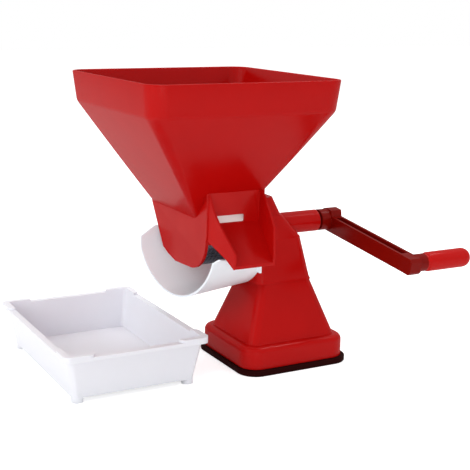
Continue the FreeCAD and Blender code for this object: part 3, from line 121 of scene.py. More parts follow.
class GroupBoard(NodeBoard):
    """A node group with named inputs and outputs."""

    def __init__(self, name: str, kind: str) -> None:
        """Start the group.

        Args:
            name: the group's name.
            kind: ShaderNodeTree or GeometryNodeTree.
        """
        super().__init__(bpy.data.node_groups.new(name, kind))
        self.keys: dict[str, str] = {}
        self.entry = self.tree.nodes.new("NodeGroupInput")
        self.leave = self.tree.nodes.new("NodeGroupOutput")

    def ask(self, name: str, kind: str, value: object = None) -> None:
        """Add a named input and keep its identifier.

        Args:
            name: the input's name.
            kind: its type, such as NodeSocketFloat.
            value: the default, where it has one.
        """
        socket = self.tree.interface.new_socket(name=name, in_out="INPUT", socket_type=kind)
        self.keys[name] = socket.identifier
        if value is not None:
            socket.default_value = value

    def give(self, name: str, kind: str, value: bpy.types.NodeSocket) -> None:
        """Add a named output and feed it.

        Args:
            name: the output's name.
            kind: its type.
            value: what comes out of it.
        """
        self.tree.interface.new_socket(name=name, in_out="OUTPUT", socket_type=kind)
        self.feed(self.leave.inputs[name], value)

    def given(self, name: str) -> bpy.types.NodeSocket:
        """Return the socket of a named input."""
        return next(socket for socket in self.entry.outputs if socket.name == name)

    def noise(self, scale: object, place: bpy.types.NodeSocket | None = None,
              detail: float = 2.0) -> bpy.types.NodeSocket:
        """Add a noise over the piece.

        Args:
            scale: how fine the noise is.
            place: where it is read, or None for the piece's own place.
            detail: how many finer noises lie over it.

        Returns:
            The noise's value.
        """
        if place is None:
            place = self.put("ShaderNodeTexCoord").outputs["Object"]
        node = self.put("ShaderNodeTexNoise", Vector=place, Scale=scale, Detail=detail)
        return node.outputs["Fac"]

    def run(self, name: str, values: dict[str, object]) -> bpy.types.Object:
        """Run a geometry tree once and return a plain mesh object.

        Args:
            name: the object's name.
            values: a value for each named input.

        Returns:
            The finished object, with no modifier left.
        """
        piece = link_mesh(name, bpy.data.meshes.new(name))
        modifier = piece.modifiers.new("Rule", "NODES")
        modifier.node_group = self.tree
        for key, value in values.items():
            modifier[self.keys[key]] = value
        bake_modifiers(piece)
        return piece


# ---------------------------------------------------------------- finishes

class ShaderGroups:
    """Node groups that several finishes share.

    Attributes:
        FINER, FINE_DETAIL: how much finer the bumps are than the mottle, and their detail.
        SHARP_FROM, SHARP_TO: pointiness at which the rubbing starts and is full.
        PATCH_SCALE: scale of the rubbed patches.
        LEVEL_FROM: how far up a face looks where the dust starts.
        DUST_SCALE: scale of the dust.
    """

    FINER: ClassVar[float] = 9.0
    FINE_DETAIL: ClassVar[float] = 4.0
    SHARP_FROM: ClassVar[float] = 0.52
    SHARP_TO: ClassVar[float] = 0.62
    PATCH_SCALE: ClassVar[float] = 35.0
    LEVEL_FROM: ClassVar[float] = 0.5
    DUST_SCALE: ClassVar[float] = 90.0

    def __init__(self) -> None:
        """Build every group once."""
        self.grain = self.build_grain()
        self.wear = self.build_wear()
        self.dust = self.build_dust()

    def build_grain(self) -> bpy.types.NodeTree:
        """Make the faint unevenness of a moulded or brushed surface.

        Returns:
            A group that gives a mottle value and a height.
        """
        group = GroupBoard("Surface grain", "ShaderNodeTree")
        group.ask("Scale", "NodeSocketFloat", 60.0)
        group.ask("Stretch", "NodeSocketVector", (1.0, 1.0, 1.0))
        stretch = group.put("ShaderNodeVectorMath", {"operation": "MULTIPLY"})
        group.feed(stretch.inputs[0], group.put("ShaderNodeTexCoord").outputs["Object"])
        group.feed(stretch.inputs[1], group.given("Stretch"))
        place, scale = stretch.outputs[0], group.given("Scale")
        finer = group.sum_of("MULTIPLY", scale, self.FINER)
        group.give("Mottle", "NodeSocketFloat", group.noise(scale, place))
        group.give("Height", "NodeSocketFloat", group.noise(finer, place, self.FINE_DETAIL))
        return group.tree

    def build_wear(self) -> bpy.types.NodeTree:
        """Make the paler rub along edges that hands and cloths touch.

        Returns:
            A group that mixes a colour towards a worn one on sharp edges.
        """
        group = GroupBoard("Edge wear", "ShaderNodeTree")
        group.ask("Color", "NodeSocketColor")
        group.ask("Worn", "NodeSocketColor")
        group.ask("Amount", "NodeSocketFloat", 0.3)
        shape = group.put("ShaderNodeNewGeometry")
        edge = group.put("ShaderNodeMapRange", Value=shape.outputs["Pointiness"],
                         From_Min=self.SHARP_FROM, From_Max=self.SHARP_TO)
        patch = group.sum_of("MULTIPLY", edge.outputs["Result"], group.noise(self.PATCH_SCALE))
        mask = group.sum_of("MULTIPLY", patch, group.given("Amount"))
        mix = group.put("ShaderNodeMix", {"data_type": "RGBA"}, Factor=mask,
                        A=group.given("Color"), B=group.given("Worn"))
        group.give("Color", "NodeSocketColor", mix.outputs["Result"])
        return group.tree

    def build_dust(self) -> bpy.types.NodeTree:
        """Make the thin film that settles on faces that look up.

        Returns:
            A group that gives a dust mask.
        """
        group = GroupBoard("Settled dust", "ShaderNodeTree")
        group.ask("Amount", "NodeSocketFloat", 0.1)
        shape = group.put("ShaderNodeNewGeometry")
        parts = group.put("ShaderNodeSeparateXYZ", Vector=shape.outputs["Normal"])
        facing = group.put("ShaderNodeMapRange", Value=parts.outputs["Z"],
                           From_Min=self.LEVEL_FROM, From_Max=1.0)
        patch = group.sum_of("MULTIPLY", facing.outputs["Result"], group.noise(self.DUST_SCALE))
        mask = group.sum_of("MULTIPLY", patch, group.given("Amount"))
        group.give("Mask", "NodeSocketFloat", mask)
        return group.tree


@dataclass(frozen=True)
class Finish:
    """One surface finish of the strainer.

    Attributes:
        name: the material's name.
        color: base colour, linear.
        rough: roughness of the clean surface.
        mottle: how far the colour wanders.
        grain: scale of the unevenness.
        stretch: how the unevenness is drawn out.
        bump: strength of the unevenness.
        wear: how much the edges are rubbed.
        worn: colour of a rubbed edge.
        dust: how much dust lies on faces that look up.
        dust_color: colour of the dust.
        metal: metallic value.
        specular: specular level.
        coat: strength of the glossy skin over the colour.
        coat_rough: roughness of that skin.
        glow: how much light passes through a thin wall.
    """

    name: str
    color: Triple
    rough: float
    mottle: float = 0.06
    grain: float = 40.0
    stretch: Triple = (1.0, 1.0, 1.0)
    bump: float = 0.02
    wear: float = 0.25
    worn: Triple = (0.75, 0.12, 0.1)
    dust: float = 0.04
    dust_color: Triple = (0.7, 0.68, 0.66)
    metal: float = 0.0
    specular: float = 0.5
    coat: float = 0.0
    coat_rough: float = 0.22
    glow: float = 0.0

    def material(self, groups: ShaderGroups) -> bpy.types.Material:
        """Build the material.

        Args:
            groups: the shared shader groups.

        Returns:
            The finished material.
        """
        smoothest, roughest, bump_height = 0.85, 1.2, 0.0005
        glow_tint, glow_depth = (1.0, 0.95, 1.0), 0.004
        made = bpy.data.materials.new(self.name)
        made.use_nodes = True
        board = NodeBoard(made.node_tree)
        grain = board.put("ShaderNodeGroup", {"node_tree": groups.grain}, Scale=self.grain,
                          Stretch=self.stretch)
        mottle = grain.outputs["Mottle"]
        tone = board.put("ShaderNodeMapRange", Value=mottle, To_Min=1.0 - self.mottle,
                         To_Max=1.0 + self.mottle)
        base = board.put("ShaderNodeMix", {"data_type": "RGBA", "blend_type": "MULTIPLY"},
                         Factor=1.0, A=(*self.color, 1.0), B=tone.outputs["Result"])
        wear = board.put("ShaderNodeGroup", {"node_tree": groups.wear}, Amount=self.wear,
                         Color=base.outputs["Result"], Worn=(*self.worn, 1.0))
        dust = board.put("ShaderNodeGroup", {"node_tree": groups.dust}, Amount=self.dust)
        film = board.put("ShaderNodeMix", {"data_type": "RGBA"}, Factor=dust.outputs["Mask"],
                         A=wear.outputs["Color"], B=(*self.dust_color, 1.0))
        rough = board.put("ShaderNodeMapRange", Value=mottle, To_Min=self.rough * smoothest,
                          To_Max=self.rough * roughest)
        bump = board.put("ShaderNodeBump", Strength=self.bump, Distance=bump_height,
                         Height=grain.outputs["Height"])
        values: dict[str, object] = {
            "Base Color": film.outputs["Result"], "Roughness": rough.outputs["Result"],
            "Normal": bump.outputs["Normal"], "Metallic": self.metal,
            "Specular IOR Level": self.specular, "Coat Weight": self.coat,
            "Coat Roughness": self.coat_rough}
        if self.glow > 0:
            values.update({"Subsurface Weight": self.glow, "Subsurface Radius": glow_tint,
                           "Subsurface Scale": glow_depth})
        shader = made.node_tree.nodes["Principled BSDF"]
        for name, value in values.items():
            board.feed(shader.inputs[name], value)
        return made


RED_PLASTIC = Finish(
    "Red moulded plastic", (0.43, 0.0025, 0.002), 0.4, worn=(0.6, 0.035, 0.03), dust=0.006,
    specular=0.0, coat=0.21)
DEEP_RED_PLASTIC = Finish(
    "Deep red arm plastic", (0.19, 0.003, 0.0012), 0.4, worn=(0.32, 0.02, 0.012), dust=0.006,
    specular=0.0, coat=0.18)
GRIP_PLASTIC = Finish(
    "Red grip plastic", (0.47, 0.0035, 0.0028), 0.4, worn=(0.6, 0.04, 0.035), wear=0.1,
    dust=0.008, specular=0.0, coat=0.24)
WHITE_PLASTIC = Finish(
    "White moulded plastic", (0.8, 0.81, 0.86), 0.38, mottle=0.015, worn=(0.86, 0.86, 0.88),
    wear=0.2, dust=0.02, specular=0.35, glow=0.45)
TROUGH_PLASTIC = Finish(
    "White trough plastic", (0.88, 0.95, 1.0), 0.36, mottle=0.015, worn=(0.86, 0.88, 0.92),
    wear=0.2, dust=0.02, specular=0.3, glow=0.1)
BLACK_RUBBER = Finish(
    "Black foot rubber", (0.02, 0.003, 0.003), 0.6, mottle=0.2, bump=0.08,
    worn=(0.035, 0.012, 0.012), wear=0.3, dust=0.003, specular=0.01)
# Painted light: the scraper is black rubber, coloured pale here to stand in for the bright patch
# of light in the skin slot.
SLOT_LIGHT_PAINTED_RUBBER = Finish(
    "Scraper rubber painted pale as slot light", (0.9, 0.84, 0.82), 0.5, mottle=0.05, worn=(0.9, 0.86, 0.84),
    wear=0.1, dust=0.0, specular=0.3)
DARK_BUSH = Finish(
    "Dark bush plastic", (0.06, 0.008, 0.006), 0.45, worn=(0.09, 0.02, 0.02), wear=0.1,
    dust=0.0, specular=0.1)
DRUM_STEEL = Finish(
    "Pressed drum steel", (0.12, 0.12, 0.145), 0.36, mottle=0.1, stretch=(1.0, 6.0, 6.0),
    bump=0.05, worn=(0.3, 0.3, 0.34), wear=0.3, metal=1.0)
BRIGHT_STEEL = Finish(
    "Bright screw steel", (0.6, 0.6, 0.61), 0.25, mottle=0.05, bump=0.03,
    worn=(0.8, 0.8, 0.8), metal=1.0)

PAINTED_NODES: tuple[tuple[Finish, tuple[str, ...]], ...] = (
    (BRIGHT_STEEL, ("cam_shaft", "stand_screws", "trough_screws", "crank_shaft", "arm_washer",
                    "arm_screw", "grip_bolt")),
    (WHITE_PLASTIC, ("cup_stud", "lift_cam", "drum_end_left", "drum_end_right",
                     "tube_bush_inner", "bearing_bush")),
    (DARK_BUSH, ("tube_bush_outer",)),
    (RED_PLASTIC, ("lever_handle",)),
    (GRIP_PLASTIC, ("grip_cap",)),
)


# ---------------------------------------------------------------- mesh tools

def link_mesh(name: str, mesh: bpy.types.Mesh) -> bpy.types.Object:
    """Put a mesh in the scene as an object at the origin."""
    piece = bpy.data.objects.new(name, mesh)
    bpy.context.scene.collection.objects.link(piece)
    return piece


def read_mesh(mesh: bpy.types.Mesh) -> bmesh.types.BMesh:
    """Open a mesh for changes."""
    build = bmesh.new()
    build.from_mesh(mesh)
    return build


def write_mesh(build: bmesh.types.BMesh, mesh: bpy.types.Mesh) -> None:
    """Write the changes back to a mesh and close them."""
    build.to_mesh(mesh)
    build.free()


def rounded_ring(left: float, right: float, front: float, back: float, height: float,
                 corner: float, steps: int) -> list[Vector]:
    """Give the points of a level rectangle with rounded corners, in order round it.

    Args:
        left: low X side.
        right: high X side.
        front: low Y side.
        back: high Y side.
        height: the level.
        corner: corner radius.
        steps: edges in each corner.

    Returns:
        Points in metres.
    """
    centres = ((right - corner, back - corner), (left + corner, back - corner),
               (left + corner, front + corner), (right - corner, front + corner))
    points = []
    for quarter, (across, deep) in enumerate(centres):
        for step in range(steps + 1):
            turn = math.pi / 2 * (quarter + step / steps)
            points.append(Vector((across + corner * math.cos(turn),
                                  deep + corner * math.sin(turn), height)) * MM)
    return points


def skin_rings(name: str, rings: Sequence[Sequence[Vector]]) -> bpy.types.Object:
    """Join rings of equal length into one skin, closed at both ends.

    Args:
        name: the object's name.
        rings: the rings in order.

    Returns:
        The new object.
    """
    same_place = 1e-7  # metres
    mesh = bpy.data.meshes.new(name)
    build = bmesh.new()
    rows = [[build.verts.new(point) for point in ring] for ring in rings]
    for lower, upper in zip(rows, rows[1:]):
        for index in range(len(lower)):
            follower = (index + 1) % len(lower)
            build.faces.new((lower[index], lower[follower], upper[follower], upper[index]))
    build.faces.new(list(reversed(rows[0])))
    build.faces.new(rows[-1])
    bmesh.ops.remove_doubles(build, verts=build.verts, dist=same_place)
    bmesh.ops.recalc_face_normals(build, faces=build.faces)
    write_mesh(build, mesh)
    return link_mesh(name, mesh)


def cad_copy(node: str, name: str) -> bpy.types.Object:
    """Copy a node's mesh, merge its loose triangles and join the flat ones.

    Args:
        node: the node's name.
        name: the new object's name.

    Returns:
        The new object.
    """
    same_place = 2e-6  # metres
    flat_angle = 0.6  # degrees
    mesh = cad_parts[node].data.copy()
    mesh.materials.clear()
    build = read_mesh(mesh)
    bmesh.ops.remove_doubles(build, verts=build.verts, dist=same_place)
    bmesh.ops.dissolve_limit(build, angle_limit=math.radians(flat_angle), verts=build.verts,
                             edges=build.edges)
    write_mesh(build, mesh)
    return link_mesh(name, mesh)


def round_edges(piece: bpy.types.Object, width: float, segments: int = 3) -> None:
    """Round the sharp edges of a piece with a Bevel modifier.

    Args:
        piece: the object.
        width: width of the rounding.
        segments: faces across the rounding.
    """
    sharpest_kept = 35.0  # degrees
    bevel = piece.modifiers.new("Rounded edges", "BEVEL")
    bevel.width = width * MM
    bevel.segments = segments
    bevel.limit_method = "ANGLE"
    bevel.angle_limit = math.radians(sharpest_kept)
    bevel.harden_normals = True
    bevel.miter_outer = "MITER_ARC"


def bake_modifiers(piece: bpy.types.Object) -> None:
    """Turn a piece's modifiers into plain mesh and remove them."""
    graph = bpy.context.evaluated_depsgraph_get()
    result = bpy.data.meshes.new_from_object(piece.evaluated_get(graph), depsgraph=graph)
    old = piece.data
    piece.modifiers.clear()
    piece.data = result
    bpy.data.meshes.remove(old)


def apply_boolean(piece: bpy.types.Object, tool: bpy.types.Object,
                  operation: str = "DIFFERENCE") -> None:
    """Apply an exact boolean and drop the tool.

    Args:
        piece: the object that stays.
        tool: the object that is used up.
        operation: DIFFERENCE or UNION.
    """
    change = piece.modifiers.new("Boolean", "BOOLEAN")
    change.operation = operation
    change.object = tool
    change.solver = "EXACT"
    bake_modifiers(piece)
    bpy.data.objects.remove(tool, do_unlink=True)


def block(name: str, low: Triple, high: Triple) -> bpy.types.Object:
    """Make a plain box between two corners."""
    corners = ((low[0], low[1]), (high[0], low[1]), (high[0], high[1]), (low[0], high[1]))
    rings = [[Vector((across, deep, level)) * MM for across, deep in corners]
             for level in (low[2], high[2])]
    return skin_rings(name, rings)


def lying_cylinder(name: str, radius: float, left: float, right: float,
                   axis: float) -> bpy.types.Object:
    """Make a cylinder along the crank axis.

    Args:
        name: the object's name.
        radius: its radius.
        left: its low X end.
        right: its high X end.
        axis: height of its axis.

    Returns:
        The new object.
    """
    sides = 96
    turns = [math.tau * side / sides for side in range(sides)]
    rings = [[Vector((across, radius * math.cos(turn), axis + radius * math.sin(turn))) * MM
              for turn in turns] for across in (left, right)]
    return skin_rings(name, rings)


def shade(piece: bpy.types.Object, angle: float = 32.0) -> None:
    """Shade a piece smooth, apart from edges sharper than an angle in degrees."""
    for face in piece.data.polygons:
        face.use_smooth = True
    piece.data.set_sharp_from_angle(angle=math.radians(angle))


class Wardrobe:
    """Builds each material once and dresses pieces in it."""

    def __init__(self) -> None:
        """Build the shared groups."""
        self.groups = ShaderGroups()
        self.made: dict[str, bpy.types.Material] = {}

    def material(self, finish: Finish) -> bpy.types.Material:
        """Return the material of a finish, built at first use."""
        if finish.name not in self.made:
            self.made[finish.name] = finish.material(self.groups)
        return self.made[finish.name]

    def paint(self, piece: bpy.types.Object, finish: Finish) -> None:
        """Make a finish the only material of a piece."""
        piece.data.materials.clear()
        piece.data.materials.append(self.material(finish))

    def dress(self, piece: bpy.types.Object, finish: Finish, body: Body, slot: Slot,
              *nodes: str) -> None:
        """Give a piece its material and its body, and hide the nodes that it stands for.

        Args:
            piece: the object.
            finish: its finish.
            body: the body that it moves with.
            slot: the record's slot; not used.
            nodes: the nodes that it replaces.
        """
        self.paint(piece, finish)
        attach(piece, body.value)
        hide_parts(*nodes)
        LOG.info("%s: %d faces, moves with %s", piece.name, len(piece.data.polygons), body.value)

    def paint_node(self, node: str, finish: Finish) -> None:
        """Give an unchanged node its material."""
        self.paint(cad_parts[node], finish)
        LOG.info("%s: kept as it is", node)


# ---------------------------------------------------------------- sub-assemblies

@dataclass
class Hopper:
    """The square funnel with its upright band and the spigot below it.

    Attributes:
        left, right, half, top: the rim.
        rim_corner: corner radius of the rim and the band.
        foot_corner: corner radius at the funnel's foot.
        corner_bend: power by which the corner radius grows on the way up.
        corner_steps: edges in a corner.
        band: height of the band.
        draft: lean of the band on each side.
        fold, fold_height: depth and height of the crease between funnel and band.
        foot_left, foot_right, foot_front, foot_back, foot: the funnel's foot.
        climb_steps: steps between foot and band.
        floor_rise: how far above the foot the inner face ends.
        wall: wall thickness.
        corner_slim: how much a corner tightens for each millimetre of inset.
        rim_round, rim_steps: rise and faces of the rounded rim.
        throat_left, throat_right, throat_front, throat_back: the spigot's outer faces.
        spigot_wall, spigot_depth: its wall, and how far it hangs below the foot.
        slot_top: top of the opening at the front, through which skins leave.
        back_reach: where the spigot's back ends below the foot.
        drum_axis, drum_arch: height and radius of the arch over the drum.
        spare: how far a cutting block stands past the faces that it cuts.
        smooth: angle in degrees up to which faces are shaded as one.
    """

    left: float = -181.5
    right: float = 14.5
    half: float = 102.0
    top: float = 290.3
    rim_corner: float = 17.5
    foot_corner: float = 4.5
    corner_bend: float = 1.6
    corner_steps: int = 12
    band: float = 29.0
    draft: float = 3.0
    fold: float = 0.35
    fold_height: float = 2.0
    foot_left: float = -95.5
    foot_right: float = -45.4
    foot_front: float = -13.7
    foot_back: float = 91.0
    foot: float = 154.0
    climb_steps: int = 6
    floor_rise: float = 3.0
    wall: float = 2.8
    corner_slim: float = 0.9
    rim_round: float = 1.2
    rim_steps: int = 8
    throat_left: float = -92.3
    throat_right: float = -36.7
    throat_front: float = -32.8
    throat_back: float = 87.8
    spigot_wall: float = 2.0
    spigot_depth: float = 8.0
    slot_top: float = 165.0
    back_reach: float = 82.4
    drum_axis: float = 138.0
    drum_arch: float = 33.3
    spare: float = 1.0
    smooth: float = 28.0

    def ring(self, level: float, inset: float) -> list[Vector]:
        """Give the hopper's outline at a level, moved in by an inset.

        Args:
            level: height of the outline.
            inset: distance inside the outer face.

        Returns:
            The outline's points.
        """
        knee = self.top - self.band
        if level >= knee:
            lean = self.draft * (self.top - level) / self.band
            return rounded_ring(
                self.left + lean + inset, self.right - lean - inset, lean + inset - self.half,
                self.half - lean - inset, level, self.rim_corner - inset * self.corner_slim,
                self.corner_steps)
        part = (level - self.foot) / (knee - self.foot)
        left = self.foot_left + (self.left + self.draft - self.foot_left) * part
        right = self.foot_right + (self.right - self.draft - self.foot_right) * part
        front = self.foot_front + (self.draft - self.half - self.foot_front) * part
        back = self.foot_back + (self.half - self.draft - self.foot_back) * part
        corner = (self.foot_corner
                  + (self.rim_corner - self.foot_corner) * part ** self.corner_bend)
        return rounded_ring(left + inset, right - inset, front + inset, back - inset, level,
                            corner - inset * self.corner_slim, self.corner_steps)

    def shell(self) -> bpy.types.Object:
        """Build the funnel and the band with their rounded rim.

        Returns:
            The shell, open at the top.
        """
        inner_floor = self.foot + self.floor_rise
        knee = self.top - self.band
        curl = self.rim_round
        climb = [self.foot + (knee - self.fold_height - self.foot) * step / self.climb_steps
                 for step in range(self.climb_steps + 1)]
        rings = [self.ring(level, 0.0) for level in climb]
        rings += [self.ring(knee, self.fold), self.ring(knee + self.fold_height, 0.0),
                  self.ring(self.top - curl, 0.0)]
        middle = self.wall / 2
        for step in range(1, self.rim_steps):
            turn = math.pi * step / self.rim_steps
            rings.append(self.ring(self.top - curl + curl * math.sin(turn),
                                   middle - middle * math.cos(turn)))
        rings += [self.ring(self.top - curl, self.wall),
                  self.ring(knee + self.fold_height, self.wall),
                  self.ring(knee, self.wall + self.fold)]
        rings += [self.ring(max(level, inner_floor), self.wall) for level in reversed(climb)]
        return skin_rings("hopper_shell", rings)

    def build(self) -> bpy.types.Object:
        """Build the shell, add the spigot and cut the ways through both.

        Returns:
            The hopper.
        """
        overlap, bore_below, bore_above, cut_below, sill = 2.0, 5.0, 30.0, 12.0, 0.6
        arch_short, arch_long = 0.5, 0.9
        left, right = self.throat_left, self.throat_right
        front, back = self.throat_front, self.throat_back
        wide_left, wide_right = left - self.spare, right + self.spare
        wall, spigot_end = self.spigot_wall, self.foot - self.spigot_depth
        shell = self.shell()
        apply_boolean(shell, block("spigot", (left, front, spigot_end),
                                   (right, back, self.foot + overlap)), "UNION")
        apply_boolean(shell, block("bore", (left + wall, front + wall, spigot_end - bore_below),
                                   (right - wall, back - wall, self.foot + bore_above)))
        apply_boolean(shell, block(
            "slot gap", (wide_left, front - self.spare, self.foot - cut_below),
            (wide_right, front + wall + sill, self.slot_top)))
        apply_boolean(shell, block(
            "back step", (wide_left, self.back_reach, self.foot - cut_below),
            (wide_right, back + self.spare, self.foot)))
        apply_boolean(shell, lying_cylinder(
            "drum arch", self.drum_arch, left - arch_short, right + arch_long, self.drum_axis))
        shade(shell, self.smooth)
        return shell


@dataclass
class Drum:
    """The perforated drum: a sheet of slanted holes that a node tree rolls into a cylinder.

    Attributes:
        radius: outer radius.
        sheet: thickness of the sheet.
        left, right: its ends.
        axis: height of its axis.
        rows: rows of holes round it.
        along: holes in a row.
        hole_long, hole_wide: size of a hole.
        hole_round: corner radius of a hole, as a share of its width.
        hole_steps: edges in a hole's corner.
        slant: how far a hole leans, in degrees.
        same_place: distance in metres below which points are merged.
        smooth: angle in degrees up to which faces are shaded as one.
    """

    radius: float = 32.3
    sheet: float = 0.8
    left: float = -91.5
    right: float = -38.0
    axis: float = 138.0
    rows: int = 44
    along: int = 12
    hole_long: float = 3.2
    hole_wide: float = 1.3
    hole_round: float = 0.49
    hole_steps: int = 4
    slant: float = 38.0
    same_place: float = 2e-6
    smooth: float = 25.0

    def cell(self, canvas: GroupBoard, wide: bpy.types.NodeSocket,
             tall: bpy.types.NodeSocket) -> bpy.types.NodeSocket:
        """Make one flat cell of the sheet with its hole.

        Args:
            canvas: the tree.
            wide: the cell's width.
            tall: the cell's height.

        Returns:
            The cell's mesh.
        """
        given = canvas.given
        edge = canvas.put("GeometryNodeCurvePrimitiveQuadrilateral", Width=wide, Height=tall)
        hole = canvas.put("GeometryNodeCurvePrimitiveQuadrilateral", Width=given("Hole length"),
                          Height=given("Hole width"))
        soft = canvas.put(
            "GeometryNodeFilletCurve", {"mode": "POLY"}, Curve=hole.outputs[0],
            Count=self.hole_steps,
            Radius=canvas.sum_of("MULTIPLY", given("Hole width"), self.hole_round))
        turn = canvas.put("ShaderNodeCombineXYZ", Z=given("Slant"))
        lean = canvas.put("GeometryNodeTransform", Geometry=soft.outputs[0],
                          Rotation=turn.outputs[0])
        both = canvas.put("GeometryNodeJoinGeometry")
        canvas.feed(both.inputs[0], edge.outputs[0])
        canvas.feed(both.inputs[0], lean.outputs[0])
        return canvas.put("GeometryNodeFillCurve", Curve=both.outputs[0]).outputs[0]

    def sheet_of_cells(self, canvas: GroupBoard) -> bpy.types.NodeSocket:
        """Lay the cells out in a flat sheet as long as the drum and as wide as it is round.

        Args:
            canvas: the tree.

        Returns:
            The sheet's mesh.
        """
        given, sums = canvas.given, canvas.sum_of
        length = sums("SUBTRACT", given("Right"), given("Left"))
        wide = sums("DIVIDE", length, given("Along"))
        tall = sums("DIVIDE", sums("MULTIPLY", given("Radius"), math.tau), given("Rows"))
        grid = canvas.put("GeometryNodeMeshGrid", Vertices_X=given("Along"),
                          Vertices_Y=given("Rows"), Size_X=sums("SUBTRACT", length, wide),
                          Size_Y=sums("MULTIPLY", tall, sums("SUBTRACT", given("Rows"), 1.0)))
        laid = canvas.put("GeometryNodeInstanceOnPoints", Points=grid.outputs[0],
                          Instance=self.cell(canvas, wide, tall))
        return canvas.put("GeometryNodeRealizeInstances", Geometry=laid.outputs[0]).outputs[0]

    def tree(self) -> GroupBoard:
        """Build the rule that lays the cells out, rolls them up and gives them thickness.

        Returns:
            The tree.
        """
        canvas = GroupBoard("Perforated drum", "GeometryNodeTree")
        for name in ("Radius", "Sheet", "Left", "Right", "Axis", "Hole length", "Hole width",
                     "Slant"):
            canvas.ask(name, "NodeSocketFloat")
        canvas.ask("Rows", "NodeSocketInt")
        canvas.ask("Along", "NodeSocketInt")
        canvas.ask("Material", "NodeSocketMaterial")
        given, sums = canvas.given, canvas.sum_of
        place = canvas.put("GeometryNodeInputPosition")
        parts = canvas.put("ShaderNodeSeparateXYZ", Vector=place.outputs[0])
        turn = sums("DIVIDE", parts.outputs["Y"], given("Radius"))
        middle = sums("MULTIPLY", sums("ADD", given("Left"), given("Right")), 0.5)
        rise = sums("MULTIPLY", sums("COSINE", turn), given("Radius"))
        rolled = canvas.put("ShaderNodeCombineXYZ", X=sums("ADD", parts.outputs["X"], middle),
                            Y=sums("MULTIPLY", sums("SINE", turn), given("Radius")),
                            Z=sums("ADD", rise, given("Axis")))
        drum = canvas.put("GeometryNodeSetPosition", Geometry=self.sheet_of_cells(canvas),
                          Position=rolled.outputs[0])
        sewn = canvas.put("GeometryNodeMergeByDistance", Geometry=drum.outputs[0],
                          Distance=self.same_place)
        thick = canvas.put("GeometryNodeExtrudeMesh", Mesh=sewn.outputs[0], Individual=False,
                           Offset_Scale=sums("MULTIPLY", given("Sheet"), -1.0))
        turned = canvas.put("GeometryNodeFlipFaces", Mesh=sewn.outputs[0])
        both = canvas.put("GeometryNodeJoinGeometry")
        canvas.feed(both.inputs[0], thick.outputs[0])
        canvas.feed(both.inputs[0], turned.outputs[0])
        closed = canvas.put("GeometryNodeMergeByDistance", Geometry=both.outputs[0],
                            Distance=self.same_place)
        real = canvas.put("GeometryNodeRealizeInstances", Geometry=closed.outputs[0])
        dressed = canvas.put("GeometryNodeSetMaterial", Geometry=real.outputs[0],
                             Material=given("Material"))
        canvas.give("Geometry", "NodeSocketGeometry", dressed.outputs[0])
        return canvas

    def build(self, steel: bpy.types.Material) -> bpy.types.Object:
        """Run the tree and turn every face outwards.

        Args:
            steel: the drum's material.

        Returns:
            The drum.
        """
        piece = self.tree().run("perforated_drum", {
            "Radius": self.radius * MM, "Sheet": self.sheet * MM, "Left": self.left * MM,
            "Right": self.right * MM, "Axis": self.axis * MM,
            "Hole length": self.hole_long * MM, "Hole width": self.hole_wide * MM,
            "Slant": math.radians(self.slant), "Rows": self.rows, "Along": self.along,
            "Material": steel})
        build = read_mesh(piece.data)
        bmesh.ops.recalc_face_normals(build, faces=build.faces)
        loose = sum(1 for edge in build.edges if len(edge.link_faces) != 2)
        write_mesh(build, piece.data)
        LOG.info("perforated_drum: %d holes, %d open edges", self.rows * self.along, loose)
        shade(piece, self.smooth)
        return piece


@dataclass
class Scraper:
    """The lip by the drum: a foot below the slot and a ramp that the skins slide down; its pale
    colour is painted light.

    Attributes:
        left, right: its ends.
        profile: its outline, as depth and height in turn.
        rounding: width of its rounded edges.
    """

    left: float = -91.4
    right: float = -38.1
    profile: tuple[tuple[float, float], ...] = (
        (-33.0, 145.5), (-31.9, 145.5), (-31.2, 151.9), (-26.0, 158.5), (-26.8, 159.1),
        (-33.0, 152.7))
    rounding: float = 0.2

    def build(self) -> bpy.types.Object:
        """Draw the outline from one end to the other.

        Returns:
            The lip.
        """
        rings = [[Vector((across, deep, level)) * MM for deep, level in self.profile]
                 for across in (self.left, self.right)]
        lip = skin_rings("scraper_ramp", rings)
        round_edges(lip, self.rounding, 2)
        shade(lip)
        return lip


@dataclass(frozen=True)
class Stand:
    """What is done to the stand, whose two mouldings meet at a seam.

    Attributes:
        seam: height of the seam.
        low, high: heights at which the widening of the crank side starts and ends.
        reach: how far that side goes outwards at the seam.
        side_start, side_blend: X at which that side starts, and over what width.
        lip_tall, lip_reach: height and overhang of the lip over the seam.
        inside: half width below which a wall is an inner one and stays.
    """

    seam: float = 84.0
    low: float = 28.0
    high: float = 128.0
    reach: float = 2.6
    side_start: float = 13.0
    side_blend: float = 4.0
    lip_tall: float = 2.6
    lip_reach: float = 0.9
    inside: float = 18.0

    def widen(self, piece: bpy.types.Object) -> None:
        """Widen the crank side of a moulding about the seam."""
        for vert in piece.data.vertices:
            place = vert.co / MM
            if place.z < self.seam:
                part = (place.z - self.low) / (self.seam - self.low)
            else:
                part = (self.high - place.z) / (self.high - self.seam)
            side = min(1.0, max(0.0, (place.x - self.side_start) / self.side_blend))
            vert.co.x += self.reach * max(0.0, part) * side * MM

    def flare(self, piece: bpy.types.Object) -> None:
        """Push the lowest band of the housing outwards, so that it stands over the seam."""
        same_place = 1e-7  # metres
        build = read_mesh(piece.data)
        bmesh.ops.bisect_plane(
            build, geom=build.verts[:] + build.edges[:] + build.faces[:], dist=same_place,
            plane_co=(0.0, 0.0, (self.seam + self.lip_tall) * MM), plane_no=(0.0, 0.0, 1.0))
        for vert in build.verts:
            low = vert.co.z < (self.seam + self.lip_tall / 2) * MM
            if low and max(abs(vert.co.x), abs(vert.co.y)) > self.inside * MM:
                flat = Vector((vert.co.x, vert.co.y, 0.0))
                vert.co += flat.normalized() * self.lip_reach * MM
        write_mesh(build, piece.data)

    def shape_housing(self, piece: bpy.types.Object) -> None:
        """Give the housing its lip over the seam and its full width there."""
        self.flare(piece)
        self.widen(piece)


